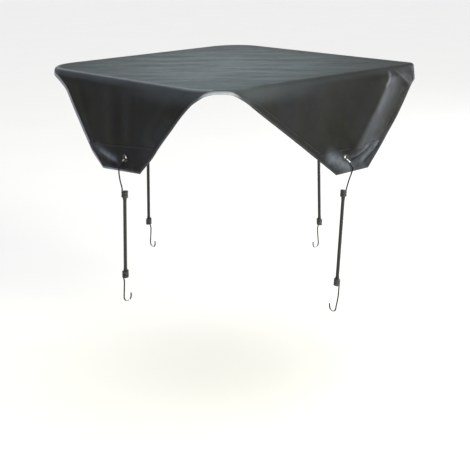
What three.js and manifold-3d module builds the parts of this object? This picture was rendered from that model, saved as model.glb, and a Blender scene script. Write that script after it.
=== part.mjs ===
import * as THREE from 'three';
import { mergeVertices } from 'three/addons/utils/BufferGeometryUtils.js';
import Module from 'manifold-3d';

// An air conditioner cover: one cloth with four hanging tips, held down by hooked elastic cords.
// Millimetres, +Z up. The origin is under the middle of the top, on the plane that the top lies on.

const wasm = await Module();
wasm.setup();

// Top of the cover and its cloth
const topHalf = 381;
const sheet = 2;
const hemThickness = 3;
const hemWidth = 20;
const foldRadius = 9;
const crown = 2;
const sideLift = 4.5;
const liftFade = 80;
const rippleHeight = 1.5;
const rippleLength = 150;

// Tips, patches and eyelets
const tipLean = 13;
const patchSheet = 1.2;
const patchInset = 5;
const layerGap = 0.3;
const boreRadius = 6;
const neckRadius = 7;
const flangeRadius = 10.5;
const flangeThickness = 1;
const flatInside = 20;
const flatOutside = 40;
const eyeletCell = 13;
const patchSideRun = 64;

// Hooks and cords
const wireRadius = 1.6;
const coilRadius = 9.4;
const coilTurns = 5;
const coilLength = 24;
const cordRadius = 4.8;
const coilRidge = 1.1;
const coilTail = 4;
const hookBend = 12;
const hookPoint = 8;
const cordStep = 24;

// Mesh steps of the cloth
const foldRows = 3;
const topRings = [0.86, 0.66, 0.44, 0.22];
const rowShares = [0.2, 0.4, 0.58, 0.72];
const shortHem = 60;
const longHem = 120;
const hemShare = 0.35;
const hemEase = 9;

// Sides and steps of the round pieces, and the length and depth of the cutting tools
const holeSides = 32;
const eyeletSides = 20;
const coilSides = 12;
const wireSides = 7;
const wireSteps = 28;
const cordSides = 10;
const drillLength = 30;
const blockDepth = 120;

// The corners, each at the right-hand end of its flap seen from outside
const corners = [
  { name: 'near', radius: 112 },
  { name: 'right', radius: 18 },
  { name: 'far', radius: 105 },
  { name: 'left', radius: 112 },
];

// The flaps, anticlockwise from above. "at" is measured along the fold from the flap's middle,
// to the right seen from outside, and "drop" down from the fold.
const flaps = [
  {
    name: 'left',
    out: [-1, 0],
    right: [0, -1],
    step: 23,
    tip: { from: -68, to: 96 },
    eyelet: { at: 39, drop: 206 },
    hem: [
      { at: -357, drop: 18 },
      { at: -300, drop: 21 },
      { at: -275, drop: 29 },
      { at: -242, drop: 52 },
      { at: -172, drop: 138 },
      { at: -112, drop: 214 },
      { at: -68, drop: 249 },
      { at: 96, drop: 240 },
      { at: 150, drop: 192 },
      { at: 265, drop: 71 },
      { at: 300, drop: 36 },
      { at: 333, drop: 14 },
      { at: 357, drop: 9 },
    ],
    folds: [
      { at: -20, drop: 20, toAt: -10, toDrop: 185, height: 4, left: 35, right: 30 },
      { at: 250, drop: 16, toAt: 135, toDrop: 150, height: 5, left: 24, right: 30 },
      { at: -112, drop: 186, toAt: -14, toDrop: 218, height: 6, left: 14, right: 14 },
    ],
    seam: { left: 186, right: 161 },
    bow: -1,
    shank: [
      { at: 13, drop: 246 },
      { at: 12, drop: 262 },
      { at: 12.5, drop: 276 },
      { at: 15.5, drop: 288 },
    ],
    upper: { at: 28, drop: 295 },
    lower: { at: 17, drop: 522 },
    hookEnd: { at: 6, drop: 617 },
  },
  {
    name: 'right',
    out: [0, -1],
    right: [1, 0],
    step: 23,
    tip: { from: 44, to: 172 },
    eyelet: { at: 76, drop: 222 },
    hem: [
      { at: -357, drop: 9 },
      { at: -333, drop: 9 },
      { at: -310, drop: 12 },
      { at: -280, drop: 30 },
      { at: 44, drop: 265 },
      { at: 172, drop: 263 },
      { at: 296, drop: 128 },
      { at: 338, drop: 76 },
      { at: 362, drop: 46 },
      { at: 374.6, drop: 42 },
    ],
    folds: [
      { at: 262, drop: 12, toAt: 98, toDrop: 208, height: 13, left: 80, right: 40 },
      { at: 292, drop: 12, toAt: 350, toDrop: 54, height: 3, left: 14, right: 14 },
      { at: 202, drop: 197, toAt: 126, toDrop: 239, height: 4, left: 12, right: 12 },
    ],
    seam: { left: 202, right: 190 },
    bow: 1,
    shank: [
      { at: 101.5, drop: 254 },
      { at: 97, drop: 268 },
      { at: 89, drop: 292 },
    ],
    upper: { at: 73, drop: 308 },
    lower: { at: 52, drop: 558 },
    hookEnd: { at: 48, drop: 657 },
  },
  {
    name: 'far_right',
    out: [1, 0],
    right: [0, 1],
    step: 36,
    tip: { from: -80, to: 80 },
    eyelet: { at: 0, drop: 212 },
    hem: [
      { at: -374.6, drop: 42 },
      { at: -350, drop: 46 },
      { at: -300, drop: 66 },
      { at: -80, drop: 250 },
      { at: 80, drop: 250 },
      { at: 280, drop: 66 },
      { at: 320, drop: 34 },
      { at: 358.5, drop: 24 },
    ],
    folds: [
      { at: -130, drop: 20, toAt: -60, toDrop: 180, height: 5, left: 40, right: 34 },
      { at: 170, drop: 20, toAt: 80, toDrop: 185, height: 4, left: 34, right: 40 },
    ],
    seam: { left: 182, right: 182 },
    bow: 1,
    shank: [
      { at: 26, drop: 252 },
      { at: 25.5, drop: 266 },
      { at: 22.5, drop: 285 },
    ],
    upper: { at: 10, drop: 300 },
    lower: { at: 4, drop: 527 },
    hookEnd: { at: 8, drop: 622 },
  },
  {
    name: 'far_left',
    out: [0, 1],
    right: [-1, 0],
    step: 36,
    tip: { from: -80, to: 80 },
    eyelet: { at: 0, drop: 212 },
    hem: [
      { at: -358.5, drop: 24 },
      { at: -320, drop: 34 },
      { at: -280, drop: 66 },
      { at: -80, drop: 250 },
      { at: 80, drop: 250 },
      { at: 262, drop: 70 },
      { at: 300, drop: 36 },
      { at: 330, drop: 21 },
      { at: 357, drop: 18 },
    ],
    folds: [
      { at: -160, drop: 20, toAt: -70, toDrop: 185, height: 4, left: 40, right: 34 },
      { at: 120, drop: 20, toAt: 60, toDrop: 180, height: 5, left: 34, right: 40 },
    ],
    seam: { left: 182, right: 182 },
    bow: -1,
    shank: [
      { at: -26, drop: 252 },
      { at: -25.5, drop: 266 },
      { at: -22.5, drop: 285 },
    ],
    upper: { at: -10, drop: 300 },
    lower: { at: -4, drop: 527 },
    hookEnd: { at: -8, drop: 622 },
  },
];
flaps.forEach((flap, i) => {
  flap.start = corners[(i + corners.length - 1) % corners.length];
  flap.end = corners[i];
});

// The upper hook's wire, from its point behind the tip to its shank, with "aside" towards the side
// that the wire bows to, "drop" below the eyelet and "out" from the middle of the eyelet
const upperWire = [
  { aside: -3, drop: 17, out: -8.6 },
  { aside: -2, drop: 9, out: -8.2 },
  { aside: -0.5, drop: 4, out: -5.6 },
  { aside: 0.5, drop: 3.4, out: -2 },
  { aside: 1.2, drop: 3.4, out: 2 },
  { aside: 2.2, drop: 3.8, out: 4.4 },
  { aside: 5, drop: 7, out: 6.2 },
  { aside: 13, drop: 15, out: 6.8 },
  { aside: 22, drop: 25, out: 6.8 },
];

const smooth = THREE.MathUtils.smoothstep;

function between(table, key, value, at) {
  if (at <= table[0][key]) return table[0][value];
  for (let i = 1; i < table.length; i++) {
    const a = table[i - 1];
    const b = table[i];
    if (at <= b[key]) return a[value] + ((at - a[key]) / (b[key] - a[key])) * (b[value] - a[value]);
  }
  return table[table.length - 1][value];
}

// Drop of the hem, with its bends eased everywhere but at the tip's two corners and the flap's ends
function hemDrop(flap, at) {
  const table = flap.hem;
  const fixed = [flap.tip.from, flap.tip.to, table[0].at, table[table.length - 1].at];
  const reach = Math.min(hemEase, ...fixed.map((f) => Math.abs(at - f)));
  const near = [at - reach, at, at, at + reach].map((a) => between(table, 'at', 'drop', a));
  return near.reduce((sum, drop) => sum + drop, 0) / near.length;
}

function flapReach(flap) {
  const reach = (radius) => topHalf - radius + (radius * Math.PI) / 4;
  return { from: -reach(flap.start.radius), to: reach(flap.end.radius) };
}

// Point of the top's outline and its outward direction, both in plan
function outline(flap, at) {
  const corner = at < 0 ? flap.start : flap.end;
  const straight = topHalf - corner.radius;
  const turn = Math.max(0, Math.abs(at) - straight) / corner.radius;
  const sign = Math.sign(at);
  const along = turn > 0 ? sign * (straight + corner.radius * Math.sin(turn)) : at;
  const away = turn > 0 ? straight + corner.radius * Math.cos(turn) : topHalf;
  const right = new THREE.Vector2(...flap.right);
  const out = new THREE.Vector2(...flap.out);
  const place = right.clone().multiplyScalar(along).addScaledVector(out, away);
  const normal = right.clone().multiplyScalar(sign * Math.sin(turn)).addScaledVector(out, Math.cos(turn));
  return { place, normal };
}

function foldHeight(fold, at, drop) {
  const run = new THREE.Vector2(fold.toAt - fold.at, fold.toDrop - fold.drop);
  const length = run.length();
  const along = ((at - fold.at) * run.x + (drop - fold.drop) * run.y) / (length * length);
  const across = ((at - fold.at) * run.y - (drop - fold.drop) * run.x) / length;
  const width = across > 0 ? fold.right : fold.left;
  const ends = smooth(along, -0.15, 0.15) * (1 - smooth(along, 0.85, 1.15));
  return fold.height * Math.exp(-((across / width) ** 2)) * ends;
}

// How far the flap stands out from the fold's vertical plane
function standOff(flap, at, drop) {
  const lean = tipLean * Math.sin((Math.PI / 2) * (drop / flap.eyelet.drop));
  const relief = flap.folds.reduce((sum, fold) => sum + foldHeight(fold, at, drop), 0);
  const fromEyelet = Math.hypot(at - flap.eyelet.at, drop - flap.eyelet.drop);
  const flat = 1 - smooth(fromEyelet, flatInside, flatOutside);
  return (lean + relief * smooth(drop, 4, 30)) * (1 - flat) + tipLean * flat;
}

// How far the top stands up towards its +X side, down to where that fades
function liftAt(x, drop) {
  return ((sideLift * (x + topHalf)) / (2 * topHalf)) * (1 - smooth(drop, 0, liftFade));
}

// Outer face of the cloth at a drop below the fold
function flapPoint(flap, at, drop) {
  const { place, normal } = outline(flap, at);
  const turn = drop < foldRadius ? Math.acos(1 - drop / foldRadius) : Math.PI / 2;
  const off = standOff(flap, at, drop);
  const inset = foldRadius * (1 - Math.sin(turn));
  place.addScaledVector(normal, off * Math.sin(turn) - inset);
  return new THREE.Vector3(place.x, place.y, off * Math.cos(turn) - drop + liftAt(place.x, drop));
}

// Outer face of the top: a low crown with soft ripples along one diagonal
function topPoint(x, y) {
  const middle = (1 - (x / topHalf) ** 2) * (1 - (y / topHalf) ** 2);
  const ripple = Math.cos((2 * Math.PI * (x + y)) / rippleLength);
  return new THREE.Vector3(x, y, middle * (crown + rippleHeight * ripple) + liftAt(x, 0));
}

// Columns down a flap: its hem's bends, the eyelet's cell and even steps in between
function columnsOf(flap) {
  const { from, to } = flapReach(flap);
  const eyelet = flap.eyelet.at;
  const keys = [from, to, eyelet - eyeletCell, eyelet + eyeletCell, flap.tip.from, flap.tip.to];
  keys.push(...[-1, 1].map((side) => side * (topHalf - (side < 0 ? flap.start : flap.end).radius)));
  const sorted = keys.filter((k) => k >= from && k <= to).sort((a, b) => a - b);
  const columns = [];
  for (let i = 1; i < sorted.length; i++) {
    const width = sorted[i] - sorted[i - 1];
    const steps = Math.max(1, Math.round(width / flap.step));
    for (let j = 0; j < steps; j++) columns.push(sorted[i - 1] + (width * j) / steps);
  }
  return columns;
}

// Length of cloth from the start of the fold to a drop, and back
const foldLength = (foldRadius * Math.PI) / 2;
const lengthAt = (drop) =>
  drop < foldRadius ? foldRadius * Math.acos(1 - drop / foldRadius) : foldLength + drop - foldRadius;
const dropAt = (length) =>
  length < foldLength ? foldRadius * (1 - Math.cos(length / foldRadius)) : foldRadius + length - foldLength;

// Drops of the rows of one column: the fold, the flap down to the hem's seam, and the hem's edge
function rowsOf(flap, at) {
  const total = lengthAt(hemDrop(flap, at));
  const slope = (hemDrop(flap, at + 1) - hemDrop(flap, at - 1)) / 2;
  const band = Math.min(hemWidth * Math.hypot(1, slope), hemShare * total);
  const tipDrop = hemDrop(flap, flap.eyelet.at);
  const share = (drop) => (drop - foldRadius) / (tipDrop - hemWidth - foldRadius);
  const eyelet = flap.eyelet.drop;
  const shares = [...rowShares, share(eyelet - eyeletCell), share(eyelet + eyeletCell), 1];
  const long = [0];
  for (let i = 1; i <= foldRows; i++) long.push((foldLength * i) / foldRows);
  long.push(...shares.map((s) => foldLength + (total - band - foldLength) * s), total);
  const blend = smooth(total, shortHem, longHem);
  return long.map((length, i) => dropAt(length * blend + ((total * i) / (long.length - 1)) * (1 - blend)));
}

// The outer face as rows of points: the top's rings from the middle outwards, then the flaps
function clothGrid() {
  const columns = flaps.flatMap((flap) => columnsOf(flap).map((at) => ({ flap, at })));
  const down = columns.map(({ flap, at }) => rowsOf(flap, at).map((drop) => flapPoint(flap, at, drop)));
  const starts = down.map((column) => column[0]);
  const rings = [...topRings].reverse().map((s) => starts.map((p) => topPoint(p.x * s, p.y * s)));
  const rows = down[0].map((_, i) => down.map((column) => column[i]));
  return { columns, rows: [...rings, ...rows], middle: topPoint(0, 0) };
}

// A closed solid from the grid, between two offsets along the face's own normals. thickness gives
// the depth of the inner face below the outer one for each row.
function shellSolid(grid, outerOffset, thickness) {
  const count = grid.columns.length;
  const points = [grid.middle, ...grid.rows.flat()];
  const faces = [];
  for (let i = 0; i < count; i++) faces.push([0, 1 + i, 1 + ((i + 1) % count)]);
  for (let r = 1; r < grid.rows.length; r++) {
    for (let i = 0; i < count; i++) {
      const next = (i + 1) % count;
      const [a, b] = [1 + (r - 1) * count + i, 1 + (r - 1) * count + next];
      const [c, d] = [1 + r * count + i, 1 + r * count + next];
      faces.push([a, c, d], [a, d, b]);
    }
  }
  const normals = points.map(() => new THREE.Vector3());
  for (const [a, b, c] of faces) {
    const normal = points[b].clone().sub(points[a]).cross(points[c].clone().sub(points[a]));
    for (const i of [a, b, c]) normals[i].add(normal);
  }
  const rowOf = (i) => (i === 0 ? 0 : Math.floor((i - 1) / count));
  const outer = points.map((p, i) => p.clone().addScaledVector(normals[i].normalize(), outerOffset));
  const inner = outer.map((p, i) => p.clone().addScaledVector(normals[i], -thickness(rowOf(i))));
  const size = points.length;
  const all = [...faces, ...faces.map(([a, b, c]) => [a + size, c + size, b + size])];
  const rim = 1 + (grid.rows.length - 1) * count;
  for (let i = 0; i < count; i++) {
    const [a, b] = [rim + i, rim + ((i + 1) % count)];
    all.push([a, a + size, b + size], [a, b + size, b]);
  }
  return solidOf([...outer, ...inner], all);
}

function solidOf(points, faces) {
  const vertProperties = new Float32Array(points.flatMap((p) => [p.x, p.y, p.z]));
  const triVerts = new Uint32Array(faces.flat());
  return new wasm.Manifold(new wasm.Mesh({ numProp: 3, vertProperties, triVerts }));
}

function solidFrom(geometry, matrix) {
  const bare = new THREE.BufferGeometry();
  const source = geometry.index ? geometry.toNonIndexed() : geometry;
  bare.setAttribute('position', source.getAttribute('position').clone());
  if (matrix) bare.applyMatrix4(matrix);
  const merged = mergeVertices(bare, 1e-4);
  const triVerts = new Uint32Array(merged.index.array);
  const vertProperties = new Float32Array(merged.getAttribute('position').array);
  const mesh = new wasm.Mesh({ numProp: 3, vertProperties, triVerts });
  mesh.merge();
  return new wasm.Manifold(mesh);
}

function geometryOf(solid) {
  const mesh = solid.getMesh();
  const geometry = new THREE.BufferGeometry();
  geometry.setAttribute('position', new THREE.BufferAttribute(mesh.vertProperties, mesh.numProp));
  geometry.setIndex(new THREE.BufferAttribute(mesh.triVerts, 1));
  return geometry;
}

// Axes of a flap's own space: x to the right seen from outside, y up, z out, from the fold's plane
function flapMatrix(flap, at = 0, drop = 0, out = 0) {
  const right = new THREE.Vector3(...flap.right, 0);
  const away = new THREE.Vector3(...flap.out, 0);
  const place = right.clone().multiplyScalar(at).addScaledVector(away, topHalf + out);
  place.z = -drop;
  return new THREE.Matrix4().makeBasis(right, new THREE.Vector3(0, 0, 1), away).setPosition(place);
}

function inFlap(flap, at, drop, out) {
  return new THREE.Vector3().setFromMatrixPosition(flapMatrix(flap, at, drop, out));
}

// The round hole that the eyelet's neck goes through
function eyeletHole(flap) {
  const radius = neckRadius + layerGap;
  const drill = new THREE.CylinderGeometry(radius, radius, drillLength, holeSides);
  drill.rotateX(Math.PI / 2);
  return solidFrom(drill, flapMatrix(flap, flap.eyelet.at, flap.eyelet.drop, tipLean));
}

// The patch's outline: its seam above, and the hem's three sides with an inset
function patchOutline(flap) {
  const corner = (at) => new THREE.Vector2(at, -hemDrop(flap, at));
  const [left, right] = [corner(flap.tip.from), corner(flap.tip.to)];
  const leftEdge = corner(flap.tip.from - patchSideRun).sub(left).normalize();
  const rightEdge = corner(flap.tip.to + patchSideRun).sub(right).normalize();
  const bottom = right.clone().sub(left).normalize();
  const bisector = (a, b) => {
    const middle = a.clone().add(b).normalize();
    return middle.multiplyScalar(patchInset / Math.abs(middle.cross(a)));
  };
  const lowLeft = left.clone().add(bisector(leftEdge, bottom));
  const lowRight = right.clone().add(bisector(rightEdge, bottom.clone().negate()));
  const rise = (from, edge, drop) => from.clone().addScaledVector(edge, (-drop - from.y) / edge.y);
  const topLeft = rise(lowLeft, leftEdge, flap.seam.left);
  const topRight = rise(lowRight, rightEdge, flap.seam.right);
  return new THREE.Shape([lowLeft, lowRight, topRight, topLeft]);
}

function patchSolid(flap, layer) {
  const block = new THREE.ExtrudeGeometry(patchOutline(flap), { depth: blockDepth, bevelEnabled: false });
  block.translate(0, 0, -blockDepth / 2);
  return layer.intersect(solidFrom(block, flapMatrix(flap))).subtract(eyeletHole(flap));
}

// Middle of the layers that the eyelet clamps, out from the fold's plane
const stackInner = tipLean - sheet;
const stackOuter = tipLean + layerGap + patchSheet;
const stackMiddle = (stackInner + stackOuter) / 2;

function eyeletGeometry() {
  const inside = (stackOuter - stackInner) / 2 + layerGap;
  const face = inside + flangeThickness;
  const ease = 0.4;
  const profile = [
    [boreRadius, face - ease],
    [boreRadius, ease - face],
    [boreRadius + ease, -face],
    [flangeRadius - ease, -face],
    [flangeRadius, -inside],
    [neckRadius, -inside],
    [neckRadius, inside],
    [flangeRadius, inside],
    [flangeRadius - ease, face],
    [boreRadius + ease, face],
    [boreRadius, face - ease],
  ];
  const lathe = new THREE.LatheGeometry(profile.map(([r, h]) => new THREE.Vector2(r, h)), eyeletSides);
  return lathe.rotateX(Math.PI / 2);
}

// A tube along a curve
function tubeSolid(extrudePath, radius, sides, steps) {
  const ring = [];
  for (let i = 0; i < sides; i++) {
    const turn = (2 * Math.PI * i) / sides;
    ring.push(new THREE.Vector2(radius * Math.cos(turn), radius * Math.sin(turn)));
  }
  return new THREE.ExtrudeGeometry(new THREE.Shape(ring), { extrudePath, steps, bevelEnabled: false });
}

// The wire wound round the end of the cord, as one ridged solid from one end of the coil to the other
function coilGeometry(from, to) {
  const pitch = coilLength / coilTurns;
  const profile = [[0, 0]];
  for (let i = 0; i < coilTurns; i++) {
    profile.push([coilRadius - coilRidge, i * pitch]);
    profile.push([coilRadius, (i + 0.5) * pitch]);
  }
  profile.push([coilRadius - coilRidge, coilLength]);
  profile.push([0, coilLength]);
  const lathe = new THREE.LatheGeometry(profile.map(([r, h]) => new THREE.Vector2(r, h)), coilSides);
  const along = to.clone().sub(from).normalize();
  const turn = new THREE.Quaternion().setFromUnitVectors(new THREE.Vector3(0, 1, 0), along);
  return lathe.applyMatrix4(new THREE.Matrix4().compose(from, turn, new THREE.Vector3(1, 1, 1)));
}

// The cord's line: from the lower end of the upper coil to the upper end of the lower one
function cordEnds(flap) {
  const upper = inFlap(flap, flap.upper.at, flap.upper.drop, stackMiddle);
  const lower = inFlap(flap, flap.lower.at, flap.lower.drop, stackMiddle);
  const along = lower.clone().sub(upper).normalize();
  return { upper, along, from: upper.clone().addScaledVector(along, coilLength), to: lower };
}

// Distance of the wire in the coil from the coil's axis
const coilRim = coilRadius - wireRadius;

function hookSolid(path, from, to) {
  const curve = new THREE.CatmullRomCurve3(path, false, 'centripetal');
  return solidFrom(tubeSolid(curve, wireRadius, wireSides, wireSteps)).add(solidFrom(coilGeometry(from, to)));
}

function upperHook(flap) {
  const { upper, from } = cordEnds(flap);
  const path = upperWire.map((p) =>
    inFlap(flap, flap.eyelet.at + flap.bow * p.aside, flap.eyelet.drop + p.drop, stackMiddle + p.out)
  );
  const top = flap.eyelet.drop + upperWire[upperWire.length - 1].drop;
  const outAtTop = upperWire[upperWire.length - 1].out;
  const end = flap.upper.drop + coilTail;
  for (const { at, drop } of flap.shank) {
    path.push(inFlap(flap, at, drop, stackMiddle + outAtTop * (1 - smooth(drop, top, end))));
  }
  path.push(inFlap(flap, flap.upper.at + flap.bow * coilRim, end, stackMiddle));
  return hookSolid(path, upper, from);
}

function lowerHook(flap) {
  const { along, to } = cordEnds(flap);
  const end = to.clone().addScaledVector(along, coilLength);
  const start = flap.lower.at + flap.bow * coilRim;
  const coilEnd = flap.lower.drop + coilLength;
  const { at, drop } = flap.hookEnd;
  const bendStart = drop - hookBend;
  const path = [inFlap(flap, start, coilEnd - coilTail, stackMiddle)];
  for (const share of [0.15, 0.5]) {
    const shankAt = start + (at - start) * share ** 2;
    path.push(inFlap(flap, shankAt, coilEnd + (bendStart - coilEnd) * share, stackMiddle));
  }
  const bends = 6;
  for (let i = 0; i <= bends; i++) {
    const turn = (Math.PI * i) / bends;
    const out = stackMiddle - hookBend * (1 - Math.cos(turn));
    path.push(inFlap(flap, at, bendStart + hookBend * Math.sin(turn), out));
  }
  path.push(inFlap(flap, at, bendStart - hookPoint, stackMiddle - 2 * hookBend));
  return hookSolid(path, to, end);
}

function cordGeometry(flap) {
  const { along, from, to } = cordEnds(flap);
  const start = from.clone().addScaledVector(along, layerGap);
  const end = to.clone().addScaledVector(along, -layerGap);
  const steps = Math.round(start.distanceTo(end) / cordStep);
  return tubeSolid(new THREE.LineCurve3(start, end), cordRadius, cordSides, steps);
}

const finishes = {
  cloth: { color: 0x34383a, roughness: 0.72, metalness: 0 },
  patch: { color: 0x303337, roughness: 0.72, metalness: 0 },
  eyelet: { color: 0x141415, roughness: 0.35, metalness: 0.8 },
  wire: { color: 0x1a1a1b, roughness: 0.4, metalness: 0.7 },
  cord: { color: 0x161617, roughness: 0.6, metalness: 0 },
};

const group = new THREE.Group();

function addPiece(name, geometry, finish) {
  const mesh = new THREE.Mesh(geometry, new THREE.MeshStandardMaterial(finishes[finish]));
  mesh.name = name;
  group.add(mesh);
  return mesh;
}

const grid = clothGrid();
const lastRow = grid.rows.length - 1;
let cloth = shellSolid(grid, 0, (row) => (row === lastRow ? hemThickness : sheet));
for (const flap of flaps) cloth = cloth.subtract(eyeletHole(flap));
addPiece('cover_cloth', geometryOf(cloth), 'cloth');

const patchLayer = shellSolid(grid, layerGap + patchSheet, () => patchSheet);
for (const flap of flaps) {
  addPiece(`patch_${flap.name}`, geometryOf(patchSolid(flap, patchLayer)), 'patch');
  const eyelet = addPiece(`eyelet_${flap.name}`, eyeletGeometry(), 'eyelet');
  eyelet.applyMatrix4(flapMatrix(flap, flap.eyelet.at, flap.eyelet.drop, stackMiddle));
  addPiece(`upper_hook_${flap.name}`, geometryOf(upperHook(flap)), 'wire');
  addPiece(`bungee_${flap.name}`, cordGeometry(flap), 'cord');
  addPiece(`lower_hook_${flap.name}`, geometryOf(lowerHook(flap)), 'wire');
}

export default group;
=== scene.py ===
"""An air conditioner cover: its cloth, tip patches, eyelets, wire hooks, elastic cords and stitching.

The tables are in millimetres, in the model's own frame: +Z up, with the origin under the middle of
the top. Meshes are in metres.
"""

from collections import namedtuple

import bpy
import numpy as np
from bpy.props import FloatProperty, FloatVectorProperty, IntProperty, PointerProperty
from mathutils import Matrix, Vector, noise


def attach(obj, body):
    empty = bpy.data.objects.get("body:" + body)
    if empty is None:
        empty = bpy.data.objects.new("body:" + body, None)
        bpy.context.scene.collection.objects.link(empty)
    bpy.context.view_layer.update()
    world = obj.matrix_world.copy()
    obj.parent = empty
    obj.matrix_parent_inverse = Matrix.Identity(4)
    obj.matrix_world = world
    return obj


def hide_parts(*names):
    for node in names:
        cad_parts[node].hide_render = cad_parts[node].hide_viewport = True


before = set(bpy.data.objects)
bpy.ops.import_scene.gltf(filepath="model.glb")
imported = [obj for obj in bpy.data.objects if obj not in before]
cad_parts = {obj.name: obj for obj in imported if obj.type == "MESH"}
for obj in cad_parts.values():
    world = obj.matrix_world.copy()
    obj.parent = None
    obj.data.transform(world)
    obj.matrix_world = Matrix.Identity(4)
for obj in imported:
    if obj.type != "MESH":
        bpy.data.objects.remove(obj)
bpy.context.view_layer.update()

bl_info = {
    "name": "Air conditioner cover",
    "version": (1, 0, 0),
    "blender": (4, 5, 0),
    "location": "View3D > Sidebar > Cover",
    "description": "Builds a draped top cover with its patches, eyelets, hooks and elastic cords",
    "category": "Object",
}

MM = 0.001

# Radii of the top's corners, each named after the side that it is on, seen from the camera
NEAR_CORNER, RIGHT_CORNER, FAR_CORNER, LEFT_CORNER = 112, 18, 105, 112

# A ridge in the cloth from (at, drop) to (to_at, to_drop), with its height and its width to the
# left and to the right of that run. "at" is measured along the fold from the middle of the flap,
# to the right seen from outside, and "drop" down from the fold.
Ridge = namedtuple("Ridge", "at drop to_at to_drop height left right")
Spot = namedtuple("Spot", "at drop")
Reach = namedtuple("Reach", "aside drop out")

# One of the four flaps. "out" is the way that it faces and "right" the way along its fold. "step" is
# the width of the mesh's columns, "start" and "end" are the radii of its two corners, and "tip" holds
# the ends of its cut-off tip. "folds" and "creases" raise the cloth, in millimetres, and the list after
# them paints it paler, as a share: painted highlights where its creases and fold crests catch the light.
# "seam" holds the drops of the patch's top corners. "bow" is the side that the upper wire bows to,
# "bare" the size of its rubbed spot and "shank" its way down to the coil. "upper" and "lower" are the
# tops of the two coils, and "hook_end" is the lowest spot of the lower hook.
Flap = namedtuple(
    "Flap",
    "name out right step start end tip eyelet hem folds creases worn seam "
    "bow bare shank upper lower hook_end",
)

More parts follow.
